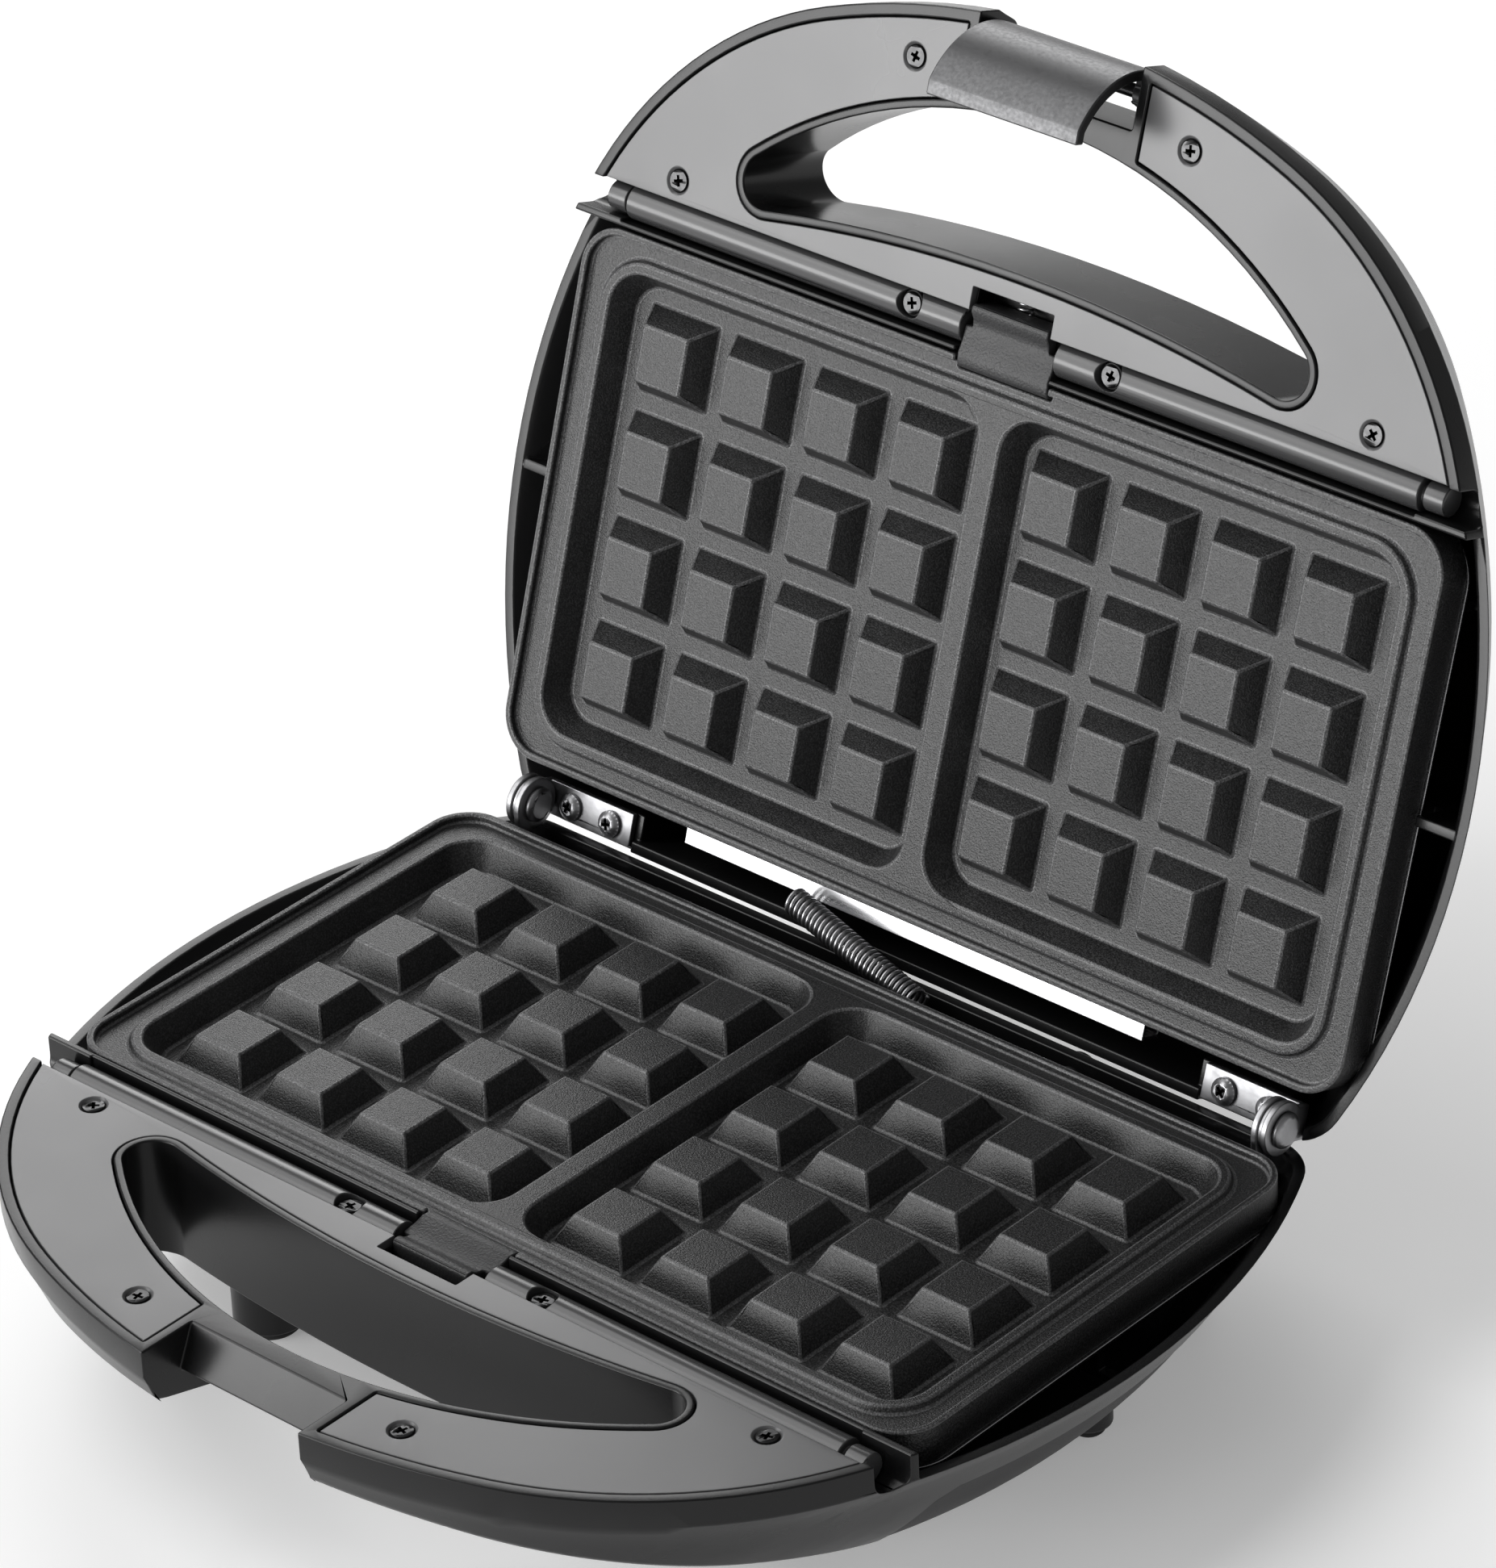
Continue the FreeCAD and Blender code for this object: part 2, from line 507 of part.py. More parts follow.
def plan(inset_side, inset_front, inset_rear):
    """Plan outline of a half, drawn in towards its middle by the given insets."""
    front_bow = size("front_bow") - inset_front
    corner_bow = size("corner_bow") - inset_side
    side_bow = size("side_bow") - inset_side
    corner_back = max(size("rear_corner") - inset_rear, 4.0)
    front = Vector(0, size("handle_reach") - inset_front - front_bow, 0)
    side = Vector(size("half_width") - inset_side - side_bow, size("widest_at"), 0)
    shoulder = meeting(front, front_bow - corner_bow, side, side_bow - corner_bow)
    back_line = -size("rear_overhang") + inset_rear
    back_d = back_line + corner_back
    back_x = side.x + math.sqrt((side_bow - corner_back) ** 2 - (back_d - side.y) ** 2)
    back = Vector(back_x, back_d, 0)
    to_front = heading(front, shoulder)
    to_side = heading(side, shoulder)
    to_back = heading(side, back)
    right = [
        arc(shoulder, corner_bow, to_front, to_side),
        arc(side, side_bow, to_side, to_back),
        arc(back, corner_back, to_back, -math.pi / 2),
    ]
    left = [edge.mirror(Vector(), Vector(1, 0, 0)) for edge in reversed(right)]
    edges = [arc(front, front_bow, math.pi - to_front, to_front)] + right
    edges.append(Part.LineSegment(Vector(back_x, back_line, 0), Vector(-back_x, back_line, 0)).toShape())
    return in_plan(edges + left)


def in_plan(edges):
    """Closes edges drawn as (x, d) into a wire of the document, where d runs along -Y."""
    wire = Part.Wire(Part.__sortEdges__(edges))
    return wire.mirror(Vector(), Vector(0, 1, 0))


def grip(grow):
    """Outline of the finger opening, grown outwards."""
    rear_bow = size("grip_rear_bow") - grow
    front_bow = size("grip_front_bow") + grow
    tip = size("grip_tip") + grow
    rear = Vector(0, size("grip_rear") - size("grip_rear_bow"), 0)
    front = Vector(0, size("grip_front") - size("grip_front_bow"), 0)
    end = meeting(front, front_bow - tip, rear, rear_bow + tip)
    end.x = abs(end.x)
    to_rear = heading(rear, end)
    to_front = heading(front, end)
    right = arc(end, tip, to_front, to_rear - math.pi)
    edges = [
        arc(front, front_bow, math.pi - to_front, to_front),
        right,
        arc(rear, rear_bow, to_rear, math.pi - to_rear),
        right.mirror(Vector(), Vector(1, 0, 0)),
    ]
    return in_plan(edges)


def round_box(x0, x1, d0, d1, radius):
    """Rectangle with round corners."""
    quarter = math.pi / 2
    centres = [
        (x1 - radius, d1 - radius), (x0 + radius, d1 - radius), (x0 + radius, d0 + radius),
        (x1 - radius, d0 + radius)]
    edges = []
    for i, (x, d) in enumerate(centres):
        corner = arc(Vector(x, d, 0), radius, i * quarter, (i + 1) * quarter)
        after = Vector(*centres[(i + 1) % 4], 0)
        edges.append(corner)
        edges.append(
            Part.LineSegment(corner.Vertexes[1].Point, polar(after, radius, (i + 1) * quarter)).toShape())
    return in_plan(edges)


def lowered(wire, depth):
    wire.Placement.Base = wire.Placement.Base.add(Vector(0, 0, -depth))
    return wire


def loft(name, sections, ruled):
    skin = doc.addObject("Part::Loft", name)
    skin.Sections = sections
    skin.Solid = True
    skin.Ruled = ruled
    return skin


# Moulded housing, the same for both halves up to the bottom cover and the latch

WALL_SECTIONS = (
    ("side_rim", "0"), ("mid_depth", "mid_inset"), ("low_depth", "low_inset"), ("body_depth", "full_inset"))
REACH = "handle_reach + 10"
SPAN = ("-half_width - 10", "half_width + 10")


def outer_form(name, inset, top):
    """Bowl of the half: upright rim, walls that draw in, flat face and sloping handle underside."""
    def section(share):
        return plan(share + inset, share * size("front_share") + inset, share * size("rear_share") + inset)

    rings = []
    for depth, share in WALL_SECTIONS:
        rings.append(drawn(f"{name}_{depth}", lowered(section(size(share)), size(depth))))
    bowl = loft(f"{name}_bowl", rings, False)
    rim = slab(f"{name}_rim", section(0), (top, "side_rim"))
    level = size("body_depth") - inset
    slope = size("ramp_slope")
    turn = math.atan(slope)
    drop = size("ramp_depth") - inset / math.cos(turn)
    knee = size("ramp_at") - (level - drop) / slope
    ease = size("ramp_blend") * math.tan(turn / 2)
    tip = size(REACH)
    corners = [(-20, -5), (-20, level), (knee - ease, level)]
    start = Vector(knee - ease, level, 0)
    end = Vector(knee + ease * math.cos(turn), level - ease * math.sin(turn), 0)
    bend = Part.Arc(
        start,
        polar(Vector(start.x, level - size("ramp_blend"), 0), size("ramp_blend"), math.pi / 2 - turn / 2),
        end)
    after = [(end.x, end.y), (tip, level - (tip - knee) * slope), (tip, -5), (-20, -5)]
    edges = Part.makePolygon([Vector(d, h, 0) for d, h in corners]).Edges + [bend.toShape()]
    edges += Part.makePolygon([Vector(d, h, 0) for d, h in after]).Edges
    side = Part.Wire(Part.__sortEdges__(edges))
    turned_up = Rotation(Vector(0, -1, 0), Vector(0, 0, -1), Vector(1, 0, 0), "XYZ")
    side.Placement = Placement(Vector(size(SPAN[0]), 0, 0), turned_up)
    profile = run_along(
        f"{name}_side", drawn(f"{name}_side_outline", side), Vector(1, 0, 0), f"({SPAN[1]}) - ({SPAN[0]})")
    return common(f"{name}_form", fuse(f"{name}_mass", bowl, rim), profile)


def panel_outline_parts(name, inset, rear, end, grow, h):
    """Horseshoe under the handle panel: rim outline behind the notch, round the opening."""
    sheet_form = slab(f"{name}_sheet", plan(inset, inset, inset), h)
    behind = block(f"{name}_front_half", SPAN, (rear, REACH), h)
    opening = slab(f"{name}_opening", grip(grow), h)
    gap = block(f"{name}_gap", (f"-({end})", end), ("grip_front - 6", REACH), h)
    return cut(name, common(f"{name}_area", sheet_form, behind), opening, gap)


def screw_places():
    spots = []
    for sign in (1, -1):
        spots.append((sign * size("outer_screw_x"), "outer_screw_d"))
        spots.append((sign * size("inner_screw_x"), "inner_screw_d"))
    return spots


def housing(half):
    """One moulded housing half with its tray, handle, rail channel, notches and bosses."""
    n = f"{half}_shell"
    body = outer_form(f"{n}_outer", 0, "rim_gap")
    doc.recompute()
    lower = [f"Edge{i + 1}" for i, e in enumerate(body.Shape.Edges) if is_lower_edge(e)]
    rounded = doc.addObject("Part::Fillet", f"{n}_rounded")
    rounded.Base = body
    rounded.Edges = [(int(e[4:]), size("edge_round"), size("edge_round")) for e in lower]
    inner = outer_form(f"{n}_inner", size("wall"), "-1")
    deeper = outer_form(f"{n}_handle_inner", size("wall + handle_extra"), "-1")
    tray = common(
        f"{n}_tray", inner,
        block(f"{n}_tray_reach", SPAN, ("-20", "plate_front + play"), ("-2", "body_depth")))
    side_cut = block(f"{n}_side_cut", SPAN, ("-20", "plate_front + 2 * play"), ("-2", "side_rim"))
    handle_reach = block(
        f"{n}_handle_reach", SPAN, ("panel_rear + 2", REACH), ("panel_top + panel_thick", "body_depth"))
    handle_room = common(f"{n}_handle_room", deeper, handle_reach)
    collar = slab(f"{n}_collar", grip(size("collar + 2 * slip")), ("-2", "body_depth + 2"))
    notch_walls = block(
        f"{n}_notch_walls", ("-panel_end", "panel_end"), ("grip_front - 6", REACH), ("-2", "body_depth"))
    clip_walls = block(
        f"{n}_clip_walls", ("-clip_saddle_half - 2", "clip_saddle_half + 2"), ("panel_rear", "grip_rear + 2"),
        ("-2", "body_depth"))
    bosses = []
    for i, (x, d) in enumerate(screw_places()):
        bosses.append(post(f"{n}_boss{i}", x, d, ("0", "body_depth"), "boss"))
    hollow = cut(f"{n}_hollow", handle_room, collar, notch_walls, clip_walls, *bosses)
    recess = panel_outline_parts(
        f"{n}_recess", size("panel_inset - panel_groove"), "panel_rear - panel_groove",
        "panel_end - panel_groove", size("collar"), ("-2", "panel_top + panel_thick"))
    opening = slab(f"{n}_grip", grip(0), ("-2", "body_depth + 2"))
    channel = block(f"{n}_channel", ("-rail_half - slip", "rail_half + slip"),
                    ("rail_centre - rail_radius - slip", "panel_rear"), ("-2", "rail_seat"))
    across = ("-half_width", "half_width")
    stub_room = [
        rod(f"{n}_stub_room", across, "rail_centre", "rail_axis_depth", "rail_radius - play"),
        block(f"{n}_stub_slot", across,
              ("rail_centre - rail_radius + play", "rail_centre + rail_radius - play"),
              ("-2", "rail_axis_depth")),
    ]
    clip_room = block(
        f"{n}_clip_room", ("-clip_half - play", "clip_half + play"), ("panel_rear - 1", "spring_wall"),
        ("-2", "clip_foot + 2 * slip"))
    clip_gate = block(f"{n}_clip_gate", ("-clip_saddle_half - play", "clip_saddle_half + play"),
                      ("plate_front", "panel_rear"), ("-2", "relief_depth + fit_gap"))
    pilot = "screw_shank + thread_gap"
    pilot_end = "panel_top + panel_thick + screw_length"
    pilots = [post(f"{n}_pilot{i}", x, d, ("0", pilot_end), pilot) for i, (x, d) in enumerate(screw_places())]
    rail_pilots = mirrored(
        f"{n}_rail_pilot", post, "rail_screw_x", "rail_screw_d", ("0", "rail_seat + 6"), pilot)
    side = size("plate_half + pan_margin + slip")
    plate_room = round_box(
        -side, side, size("plate_rear - pan_margin - slip"), size("plate_front + play"), size("pan_corner"))
    seat_room = slab(f"{n}_seat_room", plate_room, ("-2", "plate_seat + sheet_metal + fit_gap"))
    tools = [
        tray, side_cut, seat_room, hollow, recess, opening, channel, clip_room, clip_gate,
        latch_notch(n, half)]
    if half == "lid":
        tools += mirrored(
            f"{n}_hinge_notch", block, ("bracket_inner - play", "lid_ear + bracket_metal + play"),
            ("-20", "lid_bracket_front"), ("-2", "lid_bracket_top + bracket_metal"))
        pin_end = "notch_half + pin_bite + fit_gap"
        tools.append(rod(f"{n}_latch_pin_hole", (f"-({pin_end})", pin_end), "latch_pivot_d", "latch_pivot_h",
                         "pin_radius + thread_gap"))
        tools += mirrored(
            f"{n}_lamp_hole", post, "lamp_x", "lamp_d", ("body_depth - 10", "body_depth + 2"),
            "lamp_radius + fit_gap")
    else:
        tools += [split_form(f"{n}_split", "0")]
    shell = cut(f"{n}_cut", rounded, *tools, *stub_room, *pilots, *rail_pilots)
    extras = [common(f"{n}_ribs", fuse(f"{n}_rib_blocks", *ribs(n, half), *bracket_bosses(n, half)), body)]
    if half == "base":
        extras += mirrored(
            f"{n}_leg", post, "front_leg_x", "front_leg_d", ("ramp_depth + 3", "foot_height - foot_pad"),
            "foot_radius + leg_rim")
        gland = post(f"{n}_gland_hole", "gland_x", "gland_depth", ("-20", "20"), "gland_radius")
        gland.Placement.Rotation = Rotation(Vector(1, 0, 0), 90)
        put(gland, "gland_x", "-20", "gland_depth")
        shell = cut(f"{n}_glanded", shell, gland)
    whole = fuse(f"{n}_whole", shell, *extras)
    top = "lid_bracket_top + bracket_metal" if half == "lid" else "base_bracket_top + bracket_metal"
    bite = "0" if half == "lid" else "base_screw_d"
    holes = []
    for spot in ("bracket_screw_in", "bracket_screw_out"):
        holes += mirrored(
            f"{n}_{spot}", post, spot, bite, (f"{top} - 1", f"{top} + bracket_screw_long"),
            "bracket_shank + thread_gap")
    return node(cut(f"{half}_housing", whole, *holes), f"{half}_housing", half)


def is_lower_edge(edge):
    """Edges where the walls run into the flat face, the ramp or the blend between them."""
    box = edge.BoundBox
    along_x = box.XLength > 2 * size("half_width") * 0.6 and box.YLength < 1 and box.ZLength < 1
    deep = box.ZMax < -size("side_rim") - 1
    front = box.ZMax < -size("side_rim") - 0.5 and box.YMin < -size("handle_reach") + 15
    crosses = along_x and abs(box.Center.x) < 1 and box.YMax < -20 and not front
    upright = box.ZLength > 15 and box.XLength < 25 and box.YLength < 8
    return (deep or front) and not crosses and not upright


def latch_notch(n, half):
    """Notch at the front of the handle: open pocket in the lid, hook catch in the base."""
    span = ("-notch_half", "notch_half")
    if half == "lid":
        return block(f"{n}_notch", span, ("notch_strip + 0.4", REACH), ("-2", "body_depth"))
    corners = [
        ("notch_strip", "-2"), ("notch_strip", "rim_gap"), ("catch_reach", "catch_drop"),
        ("notch_strip + 0.5", "catch_depth"), ("grip_front - 5", "catch_depth"),
        ("grip_front - 5", "body_depth"),
        (REACH, "body_depth"), (REACH, "-2"),
    ]
    return prism(f"{n}_notch", corners, span)


def ribs(n, half):
    """Webs on the side walls that carry the pan flange, low beside the plate but for one on the lid."""
    low = "low_depth" if half == "lid" else "split_depth - slip"
    seat = "plate_seat + sheet_metal"
    pieces = []
    for d in ("rib_at - rib_step", "rib_at", "rib_at + rib_step"):
        across = (f"{d} - rib_thick / 2", f"{d} + rib_thick / 2")
        count = len(pieces)
        pieces += mirrored(
            f"{n}_rib{count}", block, ("pan_half + 1", "plate_half - 1"), across, (seat, low))
        pieces += mirrored(f"{n}_low_rib{count}", block, ("plate_half - 2", "half_width"), across,
                           (f"{seat} + rib_low", low))
    if half == "lid":
        pieces += mirrored(f"{n}_web", block, ("plate_half + pan_margin + 2 * slip", "half_width"),
                           ("rib_at - rib_thick / 2", "rib_at + rib_thick / 2"), ("side_rim + slip", low))
    return pieces


def bracket_bosses(n, half):
    """Blocks inside the rear wall that the hinge brackets are screwed to."""
    x = ("bracket_inner - 2", "base_ear - 1")
    if half == "lid":
        return mirrored(f"{n}_hinge_block", block, x, ("-rear_overhang + 0.5", "lid_bracket_front"),
                        ("lid_bracket_top + bracket_metal", "low_depth"))
    return mirrored(f"{n}_hinge_block", block, x, ("-rear_overhang + 0.5", "base_bracket_front"),
                    ("base_bracket_top + bracket_metal", "split_depth - slip"))


def split_form(name, gap):
    """Space of the bottom cover: below the joint and behind a front edge that leans forwards."""
    corners = [
        ("-20", f"split_depth + ({gap})"), (f"split_front - 4 - ({gap})", f"split_depth + ({gap})"),
        (f"split_front - ({gap})", f"split_depth + 3 + ({gap})"),
        (f"split_front + split_lean - ({gap})", "body_depth + 2"), ("-20", "body_depth + 2"),
    ]
    return prism(name, corners, SPAN)


# Handle panel, rail and screws

def handle_panel(half):
    """Flat glossy cover of the handle, let into the rim and held by countersunk screws."""
    n = f"{half}_panel"
    sheet_form = panel_outline_parts(
        f"{n}_form", size("panel_inset"), "panel_rear", "panel_end", size("collar + panel_groove"),
        ("panel_top", "panel_top + panel_thick"))
    beside = "clip_half + 2 * slip"
    tools = [block(f"{n}_clip_notch", (f"-({beside})", beside), ("panel_rear - 1", "clip_room"),
                   ("-1", "panel_top + panel_thick + 1"))]
    for i, (x, d) in enumerate(screw_places()):
        sink = doc.addObject("Part::Cone", f"{n}_sink{i}")
        bind(
            sink, Radius1="screw_shank + 2 * thread_gap", Radius2="screw_head + slip",
            Height="panel_thick + 0.02")
        tools.append(put(sink, x, d, "panel_top + panel_thick + 0.01"))
    return node(cut(f"{half}_handle_panel", sheet_form, *tools), f"{half}_handle_panel", half)


def rail(half):
    """Half-round trim along the rear of the panel, with stub ends in the side walls."""
    n = f"{half}_rail"
    span = ("-rail_half", "rail_half")
    low = block(
        f"{n}_foot", span, ("rail_centre - rail_radius", "panel_rear - fit_gap"),
        ("rail_axis_depth", "rail_seat"))
    bar = rod(f"{n}_bar", span, "rail_centre", "rail_axis_depth", "rail_radius")
    upper = common(
        f"{n}_upper", bar,
        block(f"{n}_half", span, ("0", "panel_rear - fit_gap"), ("-1", "rail_axis_depth")))
    stubs = mirrored(
        f"{n}_neck", rod, ("rail_half - 1", "rail_half + rail_neck"), "rail_centre", "rail_axis_depth",
        "rail_radius - rail_neck_in")
    stubs += mirrored(
        f"{n}_stub", rod, ("rail_half + rail_neck", "rail_stub"), "rail_centre", "rail_axis_depth",
        "rail_radius - play - slip")
    solid = fuse(f"{n}_solid", low, upper, *stubs)
    tools = [
        block(
            f"{n}_clip_gap", ("-clip_saddle_half - play", "clip_saddle_half + play"), ("0", REACH),
            ("-1", "relief_depth + play"))]
    tools += mirrored(
        f"{n}_counterbore", post, "rail_screw_x", "rail_screw_d", ("-1", "rail_seat - rail_bore_floor"),
        "screw_head + play")
    tools += mirrored(
        f"{n}_hole", post, "rail_screw_x", "rail_screw_d", ("-1", "rail_seat + 1"),
        "screw_shank + 2 * thread_gap")
    return node(cut(f"{half}_front_rail", solid, *tools), f"{half}_front_rail", half)


panel_screw = turned("panel_screw_pattern", [
    ("0", "0"), ("screw_head", "0"), ("screw_shank", "-panel_thick + play"),
    ("screw_shank", "-screw_length"), ("0", "-screw_length")])
rail_screw = turned("rail_screw_pattern", [
    ("0", "0"), ("screw_head - 0.4", "0"), ("screw_head", "-0.5"), ("screw_head", "-rail_screw_head"),
    ("screw_shank", "-rail_screw_head"),
    ("screw_shank", "-screw_length + rail_screw_short"), ("0", "-screw_length + rail_screw_short")])
bracket_screw = turned("bracket_screw_pattern", [
    ("0", "bracket_head_high"), ("bracket_head * 0.6", "bracket_head_high"),
    ("bracket_head", "bracket_head_high * 0.45"),
    ("bracket_head", "0"), ("bracket_shank", "0"), ("bracket_shank", "-bracket_screw_long + play"),
    ("0", "-bracket_screw_long + play")])


def handle_screws(half):
    spots = [at(x, d, "panel_top + 0.15") for x, d in screw_places()]
    node(copies(f"{half}_panel_screws", panel_screw, spots), f"{half}_panel_screws", half)
    head = "rail_seat - rail_bore_floor - rail_screw_head"
    spots = [at(sign * size("rail_screw_x"), "rail_screw_d", head) for sign in (1, -1)]
    node(copies(f"{half}_rail_screws", rail_screw, spots), f"{half}_rail_screws", half)


# Sliding clip that holds the plate down, and its spring

def release_clip(half):
    """Saddle over the rail with a tongue on the plate's front step and a thumb ridge behind."""
    n = f"{half}_clip"
    foot = "relief_depth - slip"
    end = "panel_rear - clip_travel - slip"
    saddle = [
        ("clip_tongue", foot), ("clip_tongue", "1.9"), ("clip_tongue + 1.2", "1.1"),
        ("clip_tongue + 3.4", "0.9"),
        ("rail_centre - 2.6", "1.7"), (end, "2.0"), (end, foot),
    ]
    thumb = [
        (f"{end} - 1", foot), (f"{end} - 1", "2.1"), (end, "2.0"), ("rail_centre + 2.2", "1.5"),
        ("panel_rear - 0.6", "0.6"),
        ("clip_tail - 0.5", "0.45"), ("clip_tail", "0.9"), ("clip_tail", "clip_foot"),
        ("panel_rear + 0.3", "clip_foot"),
        ("panel_rear + 0.3", foot),
    ]
    wide = prism(f"{n}_saddle", saddle, ("-clip_saddle_half", "clip_saddle_half"))
    narrow = prism(f"{n}_thumb", thumb, ("-clip_half", "clip_half"))
    return node(fuse(f"{half}_release_clip", wide, narrow), f"{half}_release_clip", half)


def bent(p0, t0, p1, t1):
    """Two arcs that join two points with the given directions."""
    v = p1.sub(p0)
    t = t0.add(t1)
    k = 2 * (1 - t0.dot(t1))
    reach = (-v.dot(t) + math.sqrt(v.dot(t) ** 2 + k * v.dot(v))) / k
    joint = p0.add(p1).add(t0.sub(t1) * reach) * 0.5

    def leg(start, tangent, end):
        chord = end.sub(start)
        along = Vector(chord).normalize()
        aside = tangent.sub(along * tangent.dot(along))
        lean = math.atan2(aside.Length, tangent.dot(along))
        middle = start.add(end) * 0.5
        return middle.add(aside.normalize() * (chord.Length / 2 * math.tan(lean / 2)))

    first = Part.Arc(p0, leg(p0, t0, joint), joint).toShape()
    back = leg(p1, t1 * -1, joint)
    return [first, Part.Arc(joint, back, p1).toShape()]


def coil(name, start, axis, radius, pitch, turns, wire):
    """Wound wire spring as one tube, on two arcs for each half turn, with short straight ends."""
    axis = Vector(axis).normalize()
    side = axis.cross(Vector(0, 0, 1))
    side = (side if side.Length > 0.1 else axis.cross(Vector(1, 0, 0))).normalize()
    across = axis.cross(side)
    rise = pitch / (2 * math.pi)

    def point(angle):
        around = (side * math.cos(angle)).add(across * math.sin(angle))
        return start.add(axis * (rise * angle)).add(around * radius)

    def tangent(angle):
        around = (across * math.cos(angle)).sub(side * math.sin(angle))
        return (around * radius).add(axis * rise).normalize()

    stops = [i * math.pi for i in range(int(turns * 2) + 1)]
    edges = [Part.LineSegment(point(0).sub(tangent(0) * wire), point(0)).toShape()]
    for a, b in zip(stops, stops[1:]):
        edges += bent(point(a), tangent(a), point(b), tangent(b))
    last = stops[-1]
    edges.append(Part.LineSegment(point(last), point(last).add(tangent(last) * wire)).toShape())
    path = Part.Wire(edges)
    ring = Part.Wire([Part.Circle(edges[0].Vertexes[0].Point, tangent(0), wire / 2).toShape()])
    tube = doc.addObject("Part::Feature", name)
    tube.Shape = path.makePipeShell([ring], True, False)
    count = 400
    steps = [point(last * i / count) for i in range(count + 1)]
    turn = int(count * math.pi / last)
    pairs = [(i, j) for i in range(count + 1) for j in range(i + turn, min(count + 1, i + 5 * turn))]
    least = min(steps[i].sub(steps[j]).Length for i, j in pairs)
    print(f"{name}: least gap of the wire to itself {least - wire:.2f} mm")
    return tube


def clip_spring(half):
    depth = size("clip_foot") - size("clip_coil") - size("clip_wire")
    start = Vector(0, -size("clip_tail") - size("clip_wire"), -depth)
    length = size("spring_wall - clip_tail") - 2.2 * size("clip_wire")
    turns = int(size("clip_turns"))
    coils = size("clip_coil"), length / turns, turns, size("clip_wire")
    spring = coil(f"{half}_clip_spring", start, Vector(0, -1, 0), *coils)
    node(spring, f"{half}_clip_spring", half)


# Cast plate with two recesses and their pegs

def waffle_plate(half):
    """Non-stick casting: outer lip, gutter, bead, two sloped recesses and square pegs."""
    n = f"{half}_plate"
    edge = size("plate_half"), size("plate_rear"), size("plate_front"), size("plate_corner")

    def frame(inset, corner):
        return round_box(-edge[0] + inset, edge[0] - inset, edge[1] + inset, edge[2] - inset, corner)

    body = slab(f"{n}_body", frame(0, edge[3]), ("plate_top", "plate_seat"))
    gutter = slab(
        f"{n}_gutter", frame(size("lip_thick"), edge[3] - size("lip_thick")), ("0", "gutter_depth"))
    spread = size("bead_width")
    box = size("pocket_half"), size("pocket_rear"), size("pocket_front"), size("pocket_corner")

    def ring(grow, depth, name):
        wire = round_box(-box[0] - grow, box[0] + grow, box[1] - grow, box[2] + grow, box[3] + grow)
        return drawn(f"{n}_{name}", lowered(wire, depth))

    bead = loft(
        f"{n}_bead",
        [
            ring(spread, size("gutter_depth") + 0.2, "bead_foot"),
            ring(spread - size("bead_slope"), size("bead_top"), "bead_crown")],
        True)
    draft = size("pocket_draft")
    pockets = []
    for sign in (1, -1):
        sections = []
        for inset, depth, label in (
            (-0.6, size("bead_top") - 1.2, "mouth"), (draft, size("pocket_floor"), "floor")):
            x0 = size("divider_half") + inset
            x1 = box[0] - inset
            low, high = sorted((sign * x0, sign * x1))
            wire = round_box(low, high, box[1] + inset, box[2] - inset, box[3] - max(inset, 0) * 0.6)
            sections.append(drawn(f"{n}_{label}{sign}", lowered(wire, depth)))
        pockets.append(loft(f"{n}_pocket{sign}", sections, True))
    relief = block(
        f"{n}_relief", ("-relief_half", "relief_half"), ("clip_tongue - play", "plate_front + 1"),
        ("-1", "relief_depth"))
    cast = fuse(f"{n}_cast", cut(f"{n}_tray", body, gutter), bead)
    hollowed = cut(f"{n}_hollowed", cast, *pockets, relief)
    lugs = mirrored(
        f"{n}_lug", block, ("lug_x - lug_half", "lug_x + lug_half"), ("lug_reach", "plate_rear + 1"),
        ("lug_top", "plate_seat - fit_gap"))
    pegs = doc.addObject("Part::Feature", f"{n}_pegs")
    pegs.Shape = Part.makeCompound([peg(*spot) for spot in grid()])
    return node(fuse(f"{half}_waffle_plate", hollowed, pegs, *lugs), f"{half}_waffle_plate", half)


def grid():
    """Centres of the pegs, in as many columns as rows in each recess."""
    spots = []
    for sign in (1, -1):
        for column in range(int(size("grid_count"))):
            for row in range(int(size("grid_count"))):
                x = sign * (size("grid_first") + column * size("grid_pitch"))
                spots.append((x, size("grid_row") + row * size("grid_pitch")))
    return spots


def peg(x, d):
    """Square peg with sloped sides, rising from just under the recess floor."""
    foot, top = size("peg_base") / 2, size("peg_top") / 2
    rings = []
    for half, depth in ((foot, size("pocket_floor")), (top, size("bead_top"))):
        corners = [
            (x - half, d - half), (x + half, d - half), (x + half, d + half), (x - half, d + half),
            (x - half, d - half)]
        rings.append(Part.makePolygon([Vector(cx, -cd, -depth) for cx, cd in corners]))
    return Part.makeLoft(rings, True, True)


# Reflector pan, heater and the hooks behind the plate

